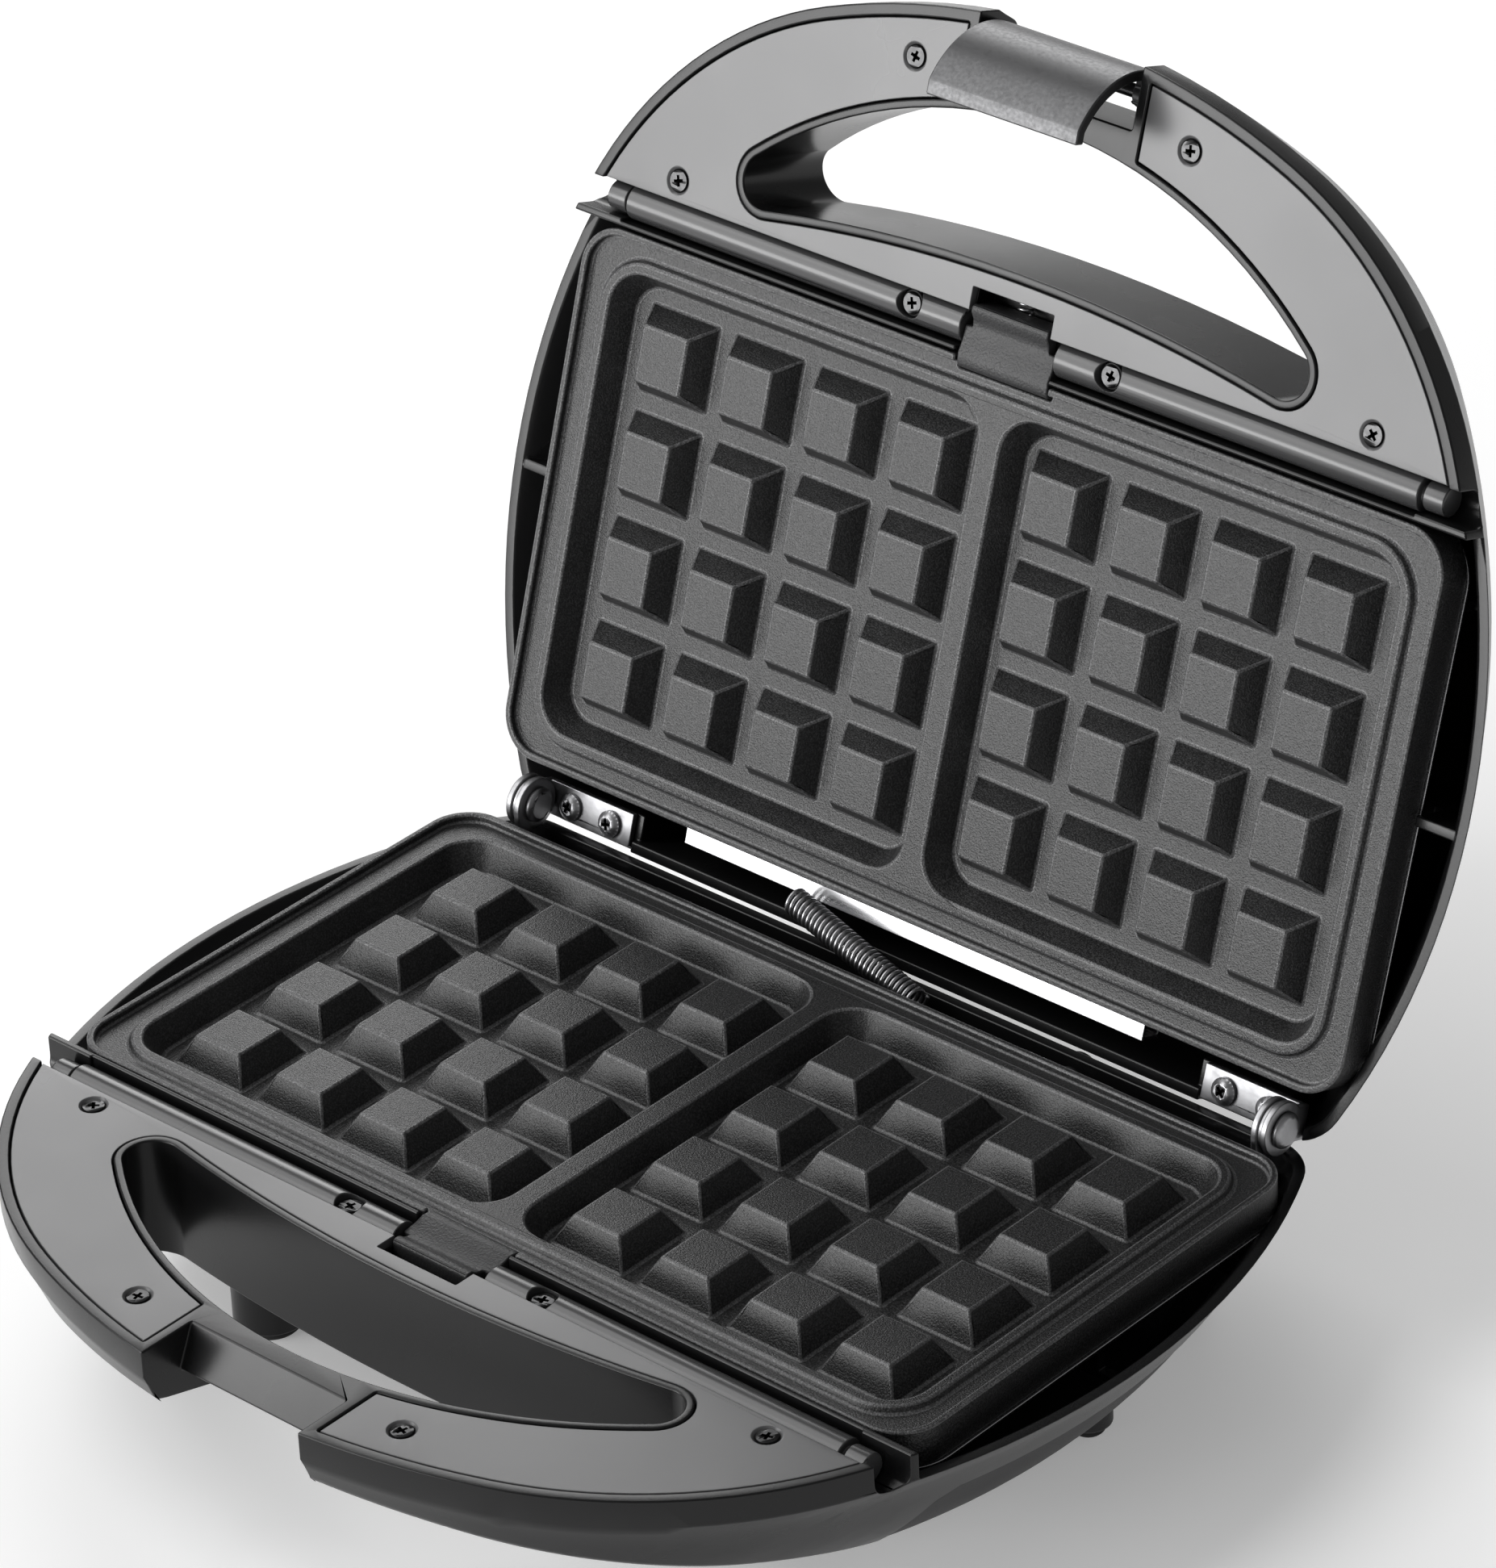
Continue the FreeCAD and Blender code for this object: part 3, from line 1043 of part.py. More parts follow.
def reflector_pan(half):
    """Pressed steel pan whose flange carries the plate and shows as a bright edge."""
    n = f"{half}_pan"
    m = size("pan_margin")
    flange_wire = round_box(
        -size("plate_half") - m, size("plate_half") + m, size("plate_rear") - m,
        size("plate_front") + m * 0.4, size("pan_corner"))
    flange = slab(f"{n}_flange", flange_wire, ("plate_seat", "plate_seat + sheet_metal"))

    def well(grow):
        return round_box(
            -size("pan_half") - grow, size("pan_half") + grow, size("pan_rear") - grow,
            size("pan_front") + grow, size("pan_round") + grow)

    tub = slab(f"{n}_tub", well(0), ("plate_seat", "pan_depth"))
    room = slab(f"{n}_room", well(-size("sheet_metal")), ("plate_seat - 1", "pan_depth - sheet_metal"))
    tools = [room]
    for i, sign in enumerate((1, -1)):
        hole = post(
            f"{n}_leg_hole{i}", sign * size("heater_leg"), "0", ("0", "heater_rear"),
            "heater_radius + slip")
        hole.Placement.Rotation = Rotation(Vector(1, 0, 0), 90)
        put(hole, sign * size("heater_leg"), "0", "heater_depth")
        tools.append(hole)
    return node(
        cut(f"{half}_reflector_pan", fuse(f"{n}_sheet", flange, tub), *tools), f"{half}_reflector_pan",
        half)


def rounded_route(points, radius):
    """Wire of straight runs with tangent arcs at the corners."""
    edges, start = [], points[0]
    for before, corner, after in zip(points, points[1:], points[2:]):
        into, out = Vector(corner.sub(before)).normalize(), Vector(after.sub(corner)).normalize()
        half = math.acos(max(-1, min(1, into.dot(out)))) / 2
        reach = radius * math.tan(half)
        first, last = corner.sub(into * reach), corner.add(out * reach)
        inward = Vector(out.sub(into)).normalize()
        middle = corner.add(inward * (radius / math.cos(half) - radius))
        edges += [Part.LineSegment(start, first).toShape(), Part.Arc(first, middle, last).toShape()]
        start = last
    edges.append(Part.LineSegment(start, points[-1]).toShape())
    return Part.Wire(edges)


def tube(name, points, bend, radius):
    path = rounded_route(points, bend)
    ring = Part.Wire([Part.Circle(points[0], points[1].sub(points[0]), radius).toShape()])
    piece = doc.addObject("Part::Feature", name)
    piece.Shape = path.makePipeShell([ring], True, False)
    return piece


def spot(x, d, h):
    return Vector(size(x), -size(d), -size(h))


def heater(half):
    """Bent tubular heater lying in the pan, with both cold legs out through its rear wall."""
    leg, wide = "heater_leg", "heater_half"
    right = [(wide, "heater_front"), (wide, "heater_rear"), (leg, "heater_rear"), (leg, "heater_end")]
    route = [("-" + x, d) for x, d in reversed(right)] + right
    points = [spot(x, d, "heater_depth") for x, d in route]
    node(
        tube(f"{half}_heating_element", points, size("heater_bend"), size("heater_radius")),
        f"{half}_heating_element", half)


def plate_hook(half):
    """Bright steel strip behind the plate: foot under the pan flange, riser, and hook over the lugs."""
    n = f"{half}_hook"
    profile = [
        ("pan_rear", "plate_seat + sheet_metal"), ("pan_rear", "plate_seat + 2 * sheet_metal"),
        ("hook_rear", "plate_seat + 2 * sheet_metal"), ("hook_rear", "hook_top"),
        ("plate_rear - play", "hook_top"),
        ("plate_rear - play", "hook_top + sheet_metal"),
        ("hook_rear + sheet_metal", "hook_top + sheet_metal"),
        ("hook_rear + sheet_metal", "plate_seat + sheet_metal"),
    ]
    if half == "lid":
        strip = prism(f"{n}_strip", profile, ("-hook_out", "hook_out"))
        slots = mirrored(
            f"{n}_leg_slot", block, ("heater_leg - 5", "heater_leg + 5"), ("hook_rear + 2", "pan_rear + 1"),
            ("plate_seat", "plate_seat + 4"))
        return node(cut(f"{half}_plate_hook", strip, *slots), f"{half}_plate_hook", half)
    pair = [
        prism(f"{n}_right", profile, ("hook_in", "hook_out")),
        prism(f"{n}_left", profile, ("-hook_out", "-hook_in"))]
    group = doc.addObject("Part::Compound", f"{half}_plate_hook")
    group.Links = pair
    return node(group, f"{half}_plate_hook", half)


# Latch on the lid's handle

def latch():
    """Curved shell with a hook lip, turning on a pin in the lid's handle."""
    centre = Vector(size("latch_axis_d"), size("latch_axis_h"), 0)
    outer = size("latch_bow")
    inner = outer - size("latch_thick")
    top = math.radians(size("latch_top_angle"))
    lip = -math.radians(size("latch_lip_angle"))
    heel = polar(centre, outer, lip)
    toe = heel.x - size("latch_lip")
    shelf = heel.y + size("latch_thick")
    inside = math.asin((shelf - centre.y) / inner)
    edges = [arc(centre, outer, top, lip)]
    corners = [heel, Vector(toe, heel.y, 0), Vector(toe, shelf, 0), polar(centre, inner, inside)]
    edges += Part.makePolygon(corners).Edges
    edges.append(arc(centre, inner, inside, top))
    edges.append(Part.LineSegment(polar(centre, inner, top), polar(centre, outer, top)).toShape())
    wire = Part.Wire(Part.__sortEdges__(edges))
    upright = Rotation(Vector(0, -1, 0), Vector(0, 0, -1), Vector(1, 0, 0), "XYZ")
    wire.Placement = Placement(Vector(-size("latch_half"), 0, 0), upright)
    shell = run_along("latch_shell", drawn("latch_outline", wire), Vector(1, 0, 0), "2 * latch_half")
    arms = mirrored(
        "latch_eye", rod, ("latch_half - latch_arm", "latch_half"), "latch_pivot_d", "latch_pivot_h",
        "2 * pin_radius")
    webs = []
    corners = [
        ("latch_pivot_d - 2", "latch_pivot_h - 2.4"), ("latch_pivot_d + 3.6", "latch_pivot_h - 2.4"),
        ("latch_pivot_d + 3.6", "latch_pivot_h + 2"), ("latch_pivot_d - 1", "latch_pivot_h + 2.8"),
    ]
    arm = "latch_half - latch_arm"
    for sign, x in ((1, (arm, "latch_half")), (-1, ("-latch_half", f"-({arm})"))):
        webs.append(prism(f"latch_web{sign}", corners, x))
    bore = rod(
        "latch_bore", ("-latch_half - 1", "latch_half + 1"), "latch_pivot_d", "latch_pivot_h",
        "pin_radius + rivet_play")
    node(cut("latch", fuse("latch_solid", shell, *arms, *webs), bore), "latch", "lid")
    pin = rod(
        "latch_pin", ("-notch_half - pin_bite", "notch_half + pin_bite"), "latch_pivot_d", "latch_pivot_h",
        "pin_radius")
    node(pin, "latch_pin", "lid")


# Hinge: plated brackets, rivets, washers and screws

def hinge_bracket(half, side):
    """Bent bracket: a screwed flange and an ear round the pivot."""
    n = f"{half}_{side}_bracket"
    ear_x = "lid_ear" if half == "lid" else "base_ear"
    if half == "lid":
        d, top = ("-lid_bracket_rear", "lid_bracket_front"), "lid_bracket_top"
        screw_d = "0"
    else:
        d, top = ("base_bracket_rear", "base_bracket_front"), "base_bracket_top"
        screw_d = "base_screw_d"
    ear_d = (d[0], "lid_bracket_front") if half == "lid" else (d[0], "ear_radius")

    def x(low, high):
        return (low, high) if side == "right" else (f"-({high})", f"-({low})")

    ear_span = x(ear_x, f"{ear_x} + bracket_metal")
    flange = block(
        f"{n}_flange", x("bracket_inner", f"{ear_x} + bracket_metal"), d, (top, f"{top} + bracket_metal"))
    ear = block(f"{n}_ear", ear_span, ear_d, ("0", f"{top} + bracket_metal"))
    eye = rod(f"{n}_eye", ear_span, "0", "0", "ear_radius")
    tools = [
        rod(
            f"{n}_bore", x(f"{ear_x} - 1", f"{ear_x} + bracket_metal + 1"), "0", "0",
            "rivet_radius + rivet_play")]
    for label in ("bracket_screw_in", "bracket_screw_out"):
        place = label if side == "right" else f"-({label})"
        tools.append(
            post(
                f"{n}_{label}", place, screw_d, (f"{top} - 1", f"{top} + bracket_metal + 1"),
                "bracket_shank + fit_gap"))
    # The lid is turned over, so its right-hand bracket as drawn ends up on the left
    ends_up = side if half == "base" else {"right": "left", "left": "right"}[side]
    whole = cut(f"{n}_whole", fuse(f"{n}_sheet", flange, ear, eye), *tools)
    node(whole, f"{half}_hinge_bracket_{ends_up}", half)


def hinge_hardware():
    under = "rivet_head_high"
    over = "rivet_head_high + lid_ear + bracket_metal - base_ear + ear_play"
    rivet = turned("rivet_pattern", [
        ("0", "0"), ("rivet_head - 0.9", "0"), ("rivet_head", "0.6"), ("rivet_head", under),
        ("rivet_radius", under),
        ("rivet_radius", over), ("rivet_head", over), ("rivet_head", f"{over} + 0.9"),
        ("rivet_head - 1.2", f"{over} + rivet_head_high"), ("0", f"{over} + rivet_head_high")])
    inner, outer = "rivet_radius + rivet_play", "ear_radius - 0.5"
    washer = turned("washer_pattern", [
        (inner, "0"), (outer, "0"), (outer, "washer_thick"), (inner, "washer_thick")])
    out = {1: Rotation(Vector(0, 1, 0), 90), -1: Rotation(Vector(0, 1, 0), -90)}
    for name, pattern, x in (("hinge_rivets", rivet, "base_ear - rivet_head_high"),
                             ("hinge_washers", washer, "base_ear + bracket_metal")):
        places = [at(s * size(x), 0, 0, out[s]) for s in (1, -1)]
        node(copies(name, pattern, places), name, "base")
    for half, d, top in (("lid", "0", "lid_bracket_top"), ("base", "base_screw_d", "base_bracket_top")):
        labels = ("bracket_screw_in", "bracket_screw_out")
        places = [at(s * size(label), d, top) for s in (1, -1) for label in labels]
        node(copies(f"{half}_bracket_screws", bracket_screw, places), f"{half}_bracket_screws", half)


# Bottom cover, feet and the parts inside

LEGS = (
    ("front_leg_x", "front_leg_d", "foot_radius"),
    ("side_leg_x", "side_leg_d", "side_foot_radius"),
    ("rear_leg_x", "rear_leg_d", "foot_radius"),
)


def bottom_cover():
    """Matte lower bowl of the base, stepped in behind the glossy wall."""
    outer = outer_form("cover_outer", size("cover_inset"), "0")
    inner = outer_form("cover_inner", size("cover_inset + wall"), "-1")
    room = split_form("cover_space", "fit_gap")
    bowl = cut("cover_bowl", common("cover_part", outer, room), inner)
    legs = []
    for x, d, radius in LEGS[1:]:
        legs += mirrored(
            f"cover_{x}", post, x, d, ("split_depth + 8", "foot_height - foot_pad"), f"{radius} + leg_rim")
    limit = split_form("cover_limit", "fit_gap + 0.4")
    inside = common("cover_leg_room", inner, limit)
    under = [cut(f"cover_leg{i}", leg, inside) for i, leg in enumerate(legs)]
    node(fuse("base_bottom_cover", bowl, *under), "base_bottom_cover", "base")


def feet():
    """Rubber discs under the legs, smaller at the sides, as one node."""
    pads = []
    for x, d, radius in LEGS:
        pad = turned(f"{x}_foot", [
            ("0", "0"), (f"{radius} - 0.8", "0"), (radius, "0.8"), (radius, "foot_pad"), ("0", "foot_pad")])
        places = [at(s * size(x), d, "foot_height") for s in (1, -1)]
        pads += copies(f"{x}_feet", pad, places).Shape.Solids
    node(drawn("rubber_feet", Part.makeCompound(pads)), "rubber_feet", "base")


def thermostat(half, sign):
    """Snap-disc thermostat on the underside of the pan, with two blade terminals."""
    n = f"{half}_thermostat"
    x = f"{sign} * thermostat_x"
    can = post(
        f"{n}_can", x, "thermostat_d", ("pan_depth", "pan_depth + thermostat_high - 3"),
        "thermostat_radius")
    cap = post(
        f"{n}_cap", x, "thermostat_d", ("pan_depth + thermostat_high - 3", "pan_depth + thermostat_high"),
        "thermostat_radius - 1.2")
    blades = [block(f"{n}_blade{i}", (f"{x} + ({i}) - 1.6", f"{x} + ({i}) + 1.6"),
                    ("thermostat_d + thermostat_radius - 2.5", "thermostat_d + thermostat_radius + 5"),
                    (
                        "pan_depth + thermostat_high - 2.2",
                        "pan_depth + thermostat_high - 1.4")) for i in (-3.5, 3.5)]
    node(fuse(f"{half}_thermostat", can, cap, *blades), f"{half}_thermostat", half)


def inner_parts():
    fuse_x = "-thermostat_x"
    sleeve = rod(
        "fuse_sleeve", (f"{fuse_x} - 16", f"{fuse_x} + 16"), "thermostat_d", "pan_depth + 2.4", "2.4")
    strap = block(
        "fuse_strap", (f"{fuse_x} - 3", f"{fuse_x} + 3"), ("thermostat_d - 6", "thermostat_d + 6"),
        ("pan_depth", "pan_depth + 5.4"))
    node(fuse("thermal_fuse", sleeve, strap), "thermal_fuse", "base")
    floor = "body_depth - cover_inset - wall"
    long = ("gland_x - 13", "gland_x + 13")
    body = fuse(
        "terminal_body", block("terminal_base", long, ("26", "40"), (f"{floor} - 4", floor)),
        block("terminal_ridge", long, ("30", "36"), (f"{floor} - 9", floor)))
    holes = []
    for i in (-8, 0, 8):
        depth = (f"{floor} - 10", f"{floor} - 3")
        holes.append(post(f"terminal_hole{i}", f"gland_x + ({i})", "33", depth, "1.8"))
    node(cut("terminal_block", body, *holes), "terminal_block", "base")
    gland = turned("gland_pattern", [
        ("cord_bore", "0"), ("gland_radius + gland_rim", "0"), ("gland_radius + gland_rim", "2"),
        ("gland_radius - fit_gap", "2"),
        ("gland_radius - fit_gap", "2 + wall + 1.6"), ("gland_radius + 0.9", "2 + wall + 1.6"),
        ("gland_radius + 0.9", "2 + wall + 3.2"), ("cord_bore", "2 + wall + 3.2")])
    spin = Rotation(Vector(1, 0, 0), 90)
    node(
        copies("cord_gland", gland, [at("gland_x", "-rear_overhang - 2.1", "gland_depth", spin)]),
        "cord_gland", "base")
    lamp = turned("lamp_pattern", [
        ("0", "0"), ("lamp_radius - 0.8", "0.25"), ("lamp_radius", "1"), ("lamp_radius", "1 + wall + 1"),
        ("lamp_radius + 1.2", "1 + wall + 1"), ("lamp_radius + 1.2", "1 + wall + 2.2"),
        ("0", "1 + wall + 2.2")])
    for name, sign in (("power_lamp_lens", 1), ("ready_lamp_lens", -1)):
        node(copies(name, lamp, [at(sign * size("lamp_x"), "lamp_d", "body_depth + 1")]), name, "lid")
    back = "body_depth - wall - 2.2"
    node(fuse("lamp_board", block(
        "lamp_board_sheet", ("-lamp_x - 8", "lamp_x + 8"), ("lamp_d - 7", "lamp_d + 7"),
        (f"{back} - 4.6", f"{back} - 3")),
              *mirrored(
                  "lamp_bulb", post, "lamp_x", "lamp_d", (f"{back} - 3.2", back),
                  "2.4")), "lamp_board", "lid")


def conduit():
    """Close-wound steel conduit that carries the leads across the hinge, along the hinge line."""
    start = spot("conduit_x", "conduit_d", "conduit_depth")
    back, up = math.radians(size("conduit_back")), math.radians(size("conduit_up"))
    axis = Vector(-math.cos(back) * math.cos(up), math.sin(back) * math.cos(up), math.sin(up))
    node(coil(
        "conduit_spring", start, axis, size("conduit_coil"), size("conduit_pitch"),
        int(size("conduit_turns")), size("conduit_wire")),
         "conduit_spring", "base")


for half in ("base", "lid"):
    housing(half)
    handle_panel(half)
    rail(half)
    handle_screws(half)
    release_clip(half)
    clip_spring(half)
    waffle_plate(half)
    reflector_pan(half)
    heater(half)
    plate_hook(half)
    for side in ("right", "left"):
        hinge_bracket(half, side)
    thermostat(half, 1)
hinge_hardware()
latch()
bottom_cover()
feet()
inner_parts()
conduit()
doc.recompute()

# Each half goes to its place: the base stands on its feet, the lid is turned over and opened
closed_over = Rotation(Vector(0, 1, 0), 180)
opened = Rotation(Vector(1, 0, 0), -size("open_angle"))
turns = {"base": Placement(), "lid": Placement(Vector(), opened.multiply(closed_over))}
span = FreeCAD.BoundBox()
for piece, half in NODES:
    shape = piece.Shape.copy()
    shape.Placement = turns[half].multiply(shape.Placement)
    span.add(shape.optimalBoundingBox(False))
shift = Vector(0, -span.Center.y, -span.ZMin)
print(f"hinge line at y {shift.y:.3f}, z {shift.z:.3f}")
for piece, half in NODES:
    place = turns[half]
    piece.Placement = Placement(shift, Rotation()).multiply(place).multiply(piece.Placement)

for thing in doc.Objects:
    if "Invalid" in thing.State or "Error" in thing.State:
        raise RuntimeError(f"{thing.Name} failed: {thing.State}")
os.makedirs("parts", exist_ok=True)
for piece, half in NODES:
    shape = piece.Shape
    if shape.isNull() or not shape.isValid() or not shape.Solids:
        raise RuntimeError(f"{piece.Label} has no valid solid")
    shape.exportStep(f"parts/{piece.Label}.step")
    box = shape.optimalBoundingBox(False)
    print(f"{piece.Label}: {len(shape.Solids)} solid(s), {shape.Volume / 1000:.2f} cm3, "
          f"x {box.XMin:.1f} {box.XMax:.1f} y {box.YMin:.1f} {box.YMax:.1f} z {box.ZMin:.1f} {box.ZMax:.1f}")
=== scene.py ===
"""Waffle maker standing open: moulded black halves, grey handle panels and cast non-stick plates."""
import bpy
import json
import math
from mathutils import Matrix, Vector


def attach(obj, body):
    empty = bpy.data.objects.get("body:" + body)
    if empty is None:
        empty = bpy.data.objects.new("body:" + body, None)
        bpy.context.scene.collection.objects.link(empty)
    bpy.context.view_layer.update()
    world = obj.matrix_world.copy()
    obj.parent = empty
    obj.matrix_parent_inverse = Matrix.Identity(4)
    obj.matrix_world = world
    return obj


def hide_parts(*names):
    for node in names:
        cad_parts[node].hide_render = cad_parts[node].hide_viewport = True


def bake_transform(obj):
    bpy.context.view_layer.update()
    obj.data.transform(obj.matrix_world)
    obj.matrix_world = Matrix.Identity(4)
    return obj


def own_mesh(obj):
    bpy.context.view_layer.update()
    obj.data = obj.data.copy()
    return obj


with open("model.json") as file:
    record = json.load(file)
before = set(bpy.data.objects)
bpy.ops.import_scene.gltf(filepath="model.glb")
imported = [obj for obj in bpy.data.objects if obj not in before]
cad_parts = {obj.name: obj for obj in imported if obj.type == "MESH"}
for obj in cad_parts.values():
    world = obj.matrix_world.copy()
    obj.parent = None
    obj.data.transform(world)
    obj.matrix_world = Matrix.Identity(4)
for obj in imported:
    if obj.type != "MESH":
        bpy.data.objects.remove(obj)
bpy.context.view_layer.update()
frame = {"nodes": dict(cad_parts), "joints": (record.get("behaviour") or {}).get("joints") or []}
nodes = frame["nodes"]
hinge = Vector(next(j for j in frame["joints"] if j["name"] == "lid_hinge")["pos_m"])

# Camera: a long lens from the front right, about thirty degrees above the worktop.
# It stands where the lines of the hinge, the plates and the panels meet those of the photograph.
bpy.ops.object.camera_add(location=(0.920445, hinge.y - 1.025685, hinge.z + 0.872653))
camera = bpy.context.object
back, up = Vector((0.5853733, -0.6260545, 0.5151639)), Vector((-0.3171169, 0.4079881, 0.8561440))
turned = Matrix((up.cross(back), up, back)).transposed()
camera.rotation_euler = turned.to_euler()
camera.data.lens = 176.7
camera.data.sensor_width = 36
camera.data.clip_end = 20
bpy.context.scene.camera = camera

# Plain display: no film curve, so the pale worktop stays white and the black plastic black.
bpy.context.scene.view_settings.view_transform = "Standard"

# Worktop: a wide pale sheet, matt enough that the black plastic shows only a soft sheen in it.
# It glows a little by itself, so that it stays pale round the shadow.
bpy.ops.object.select_all(action="DESELECT")
bpy.ops.mesh.primitive_plane_add(size=14)
worktop = bpy.context.object
worktop.name = "worktop"
pale = bpy.data.materials.new("pale_worktop")
pale.use_nodes = True
sheet = pale.node_tree.nodes["Principled BSDF"]
sheet.inputs["Base Color"].default_value = (0.9, 0.9, 0.9, 1)
sheet.inputs["Roughness"].default_value = 0.7
sheet.inputs["Emission Color"].default_value = (1, 1, 1, 1)
sheet.inputs["Emission Strength"].default_value = 0.25
worktop.data.materials.append(pale)


# Studio light: a broad low panel to the front left and another behind the left shoulder.
# A panel overhead, a card high on the left and a soft sky fill the shadows.
def softbox(name, place, aim, width, height, power):
    """Soft rectangular light at a place, turned towards its aim; sizes in metres, power in watts."""
    data = bpy.data.lights.new(name, "AREA")
    data.shape = "RECTANGLE"
    data.size, data.size_y, data.energy = width, height, power
    lamp = bpy.data.objects.new(name, data)
    bpy.context.scene.collection.objects.link(lamp)
    lamp.location = place
    lamp.rotation_euler = (Vector(aim) - Vector(place)).to_track_quat("-Z", "Y").to_euler()


softbox("front_left_panel", (-1.25, -2.4, 0.45), (0, 0, 0.1), 2.0, 1.0, 58)
softbox("rear_left_panel", (-1.7, 1.8, 1.35), (0, 0, 0.1), 1.6, 1.1, 26)
softbox("overhead_panel", (-1.4, -0.35, 2.0), (0, 0, 0.1), 1.3, 1.3, 15)
softbox("high_left_card", (-1.46, -1.43, 1.5), (0, 0.1, 0.2), 1.0, 1.5, 18)
sky = bpy.data.worlds.new("studio_sky")
sky.use_nodes = True
sky.node_tree.nodes["Background"].inputs["Color"].default_value = (1, 1, 1, 1)
sky.node_tree.nodes["Background"].inputs["Strength"].default_value = 0.22
bpy.context.scene.world = sky


# Housings: the two injection-moulded halves in black plastic with a soft gloss.
# Each is one moulding with its handle, so only its parting edges are eased.
def eased(name, width, segments=2, angle=32, finishes=(), square=180):
    """Copy of a CAD piece with its triangles joined and its edges rounded.

    The last finish goes on the edges. A square below 180 degrees keeps large bent walls in even quads.
    """
    bpy.ops.object.select_all(action="DESELECT")
    piece = bpy.data.objects.new(f"{name}_finished", nodes[name].data.copy())
    bpy.context.scene.collection.objects.link(piece)
    piece.data.materials.clear()
    for material in finishes:
        piece.data.materials.append(material)
    piece.select_set(True)
    bpy.context.view_layer.objects.active = piece
    bpy.ops.object.mode_set(mode="EDIT")
    bpy.ops.mesh.select_all(action="SELECT")
    bpy.ops.mesh.remove_doubles(threshold=2e-6)
    if square < 180:
        bpy.ops.mesh.beautify_fill(angle_limit=math.radians(0.5))
    bpy.ops.mesh.tris_convert_to_quads(
        face_threshold=math.radians(2), shape_threshold=math.radians(square))
    bpy.ops.object.mode_set(mode="OBJECT")
    if width:
        bevel = piece.modifiers.new("eased_edges", "BEVEL")
        bevel.width = width
        bevel.segments = segments
        bevel.limit_method = "ANGLE"
        bevel.angle_limit = math.radians(angle)
        bevel.miter_outer = "MITER_ARC"
        bevel.use_clamp_overlap = False
        bevel.material = len(finishes) - 1
        bpy.ops.object.modifier_apply(modifier=bevel.name)
    bpy.ops.object.shade_smooth_by_angle(angle=math.radians(max(angle, 50)))
    level = piece.modifiers.new("level_faces", "WEIGHTED_NORMAL")
    level.weight = 100
    level.keep_sharp = True
    bpy.ops.object.modifier_apply(modifier=level.name)
    return piece


def finish(piece, material, slot, body, *stands_for):
    """Gives a piece its material and its body, and hides the CAD node it stands for; the slot argument
    is not used.
    """
    if not piece.data.materials:
        piece.data.materials.append(material)
    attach(piece, body)
    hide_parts(*stands_for)


def moulded(name, colour, rough, spread, grain, height, specular=0.3):
    """Moulded plastic: even colour, gloss that varies a little, and the fine grain of the tool."""
    material = bpy.data.materials.new(name)
    material.use_nodes = True
    tree = material.node_tree
    shader = tree.nodes["Principled BSDF"]
    shader.inputs["Base Color"].default_value = (*colour, 1)
    shader.inputs["Specular IOR Level"].default_value = specular
    place = tree.nodes.new("ShaderNodeTexCoord")
    cloud = tree.nodes.new("ShaderNodeTexNoise")
    cloud.inputs["Scale"].default_value = 22
    cloud.inputs["Detail"].default_value = 4
    gloss = tree.nodes.new("ShaderNodeMapRange")
    gloss.inputs["From Min"].default_value = 0.3
    gloss.inputs["From Max"].default_value = 0.7
    gloss.inputs["To Min"].default_value = rough - spread
    gloss.inputs["To Max"].default_value = rough + spread
    fine = tree.nodes.new("ShaderNodeTexNoise")
    fine.inputs["Scale"].default_value = grain
    fine.inputs["Detail"].default_value = 3
    bump = tree.nodes.new("ShaderNodeBump")
    bump.inputs["Strength"].default_value = height
    bump.inputs["Distance"].default_value = 0.0002
    link = tree.links.new
    link(place.outputs["Object"], cloud.inputs["Vector"])
    link(cloud.outputs["Fac"], gloss.inputs["Value"])
    link(gloss.outputs["Result"], shader.inputs["Roughness"])
    link(place.outputs["Object"], fine.inputs["Vector"])
    link(fine.outputs["Fac"], bump.inputs["Height"])
    link(bump.outputs["Normal"], shader.inputs["Normal"])
    return material


black_plastic = moulded("gloss_black_plastic", (0.008, 0.008, 0.0083), 0.27, 0.04, 1500, 0.05)
for half in ("base", "lid"):
    housing = eased(f"{half}_housing", 0.0004, square=60)
    finish(housing, black_plastic, "gloss_black", half, f"{half}_housing")

# Bottom cover: the lower bowl of the base, a separate moulding with a matt spark-eroded texture.
# It clips in behind the glossy wall and shows as a band along the side.
matt_plastic = moulded("textured_black_plastic", (0.035, 0.035, 0.036), 0.5, 0.06, 2600, 0.6)
finish(eased("base_bottom_cover", 0.0006, 3), matt_plastic, "matte_black", "base", "base_bottom_cover")

# Handle panels: smooth grey covers let into the rim of each handle, screwed down from above.
# They are as glossy as lacquer and stand a hair below the black rim.
grey_panel = moulded("grey_panel_gloss", (0.1, 0.1, 0.102), 0.3, 0.03, 300, 0.02, 0.5)
for half in ("base", "lid"):
    finish(eased(f"{half}_handle_panel", 0.0002), grey_panel, "panel_grey", half, f"{half}_handle_panel")

# Rails: half-round trim between panel and plate, moulded in satin black plastic.
# Each lies in a channel of its housing, with turned ends in the side walls and two screws.
satin_black = moulded("satin_black_plastic", (0.045, 0.045, 0.046), 0.25, 0.03, 900, 0.04, 0.6)
for half in ("base", "lid"):
    finish(eased(f"{half}_front_rail", 0.0003), satin_black, "gloss_black", half, f"{half}_front_rail")
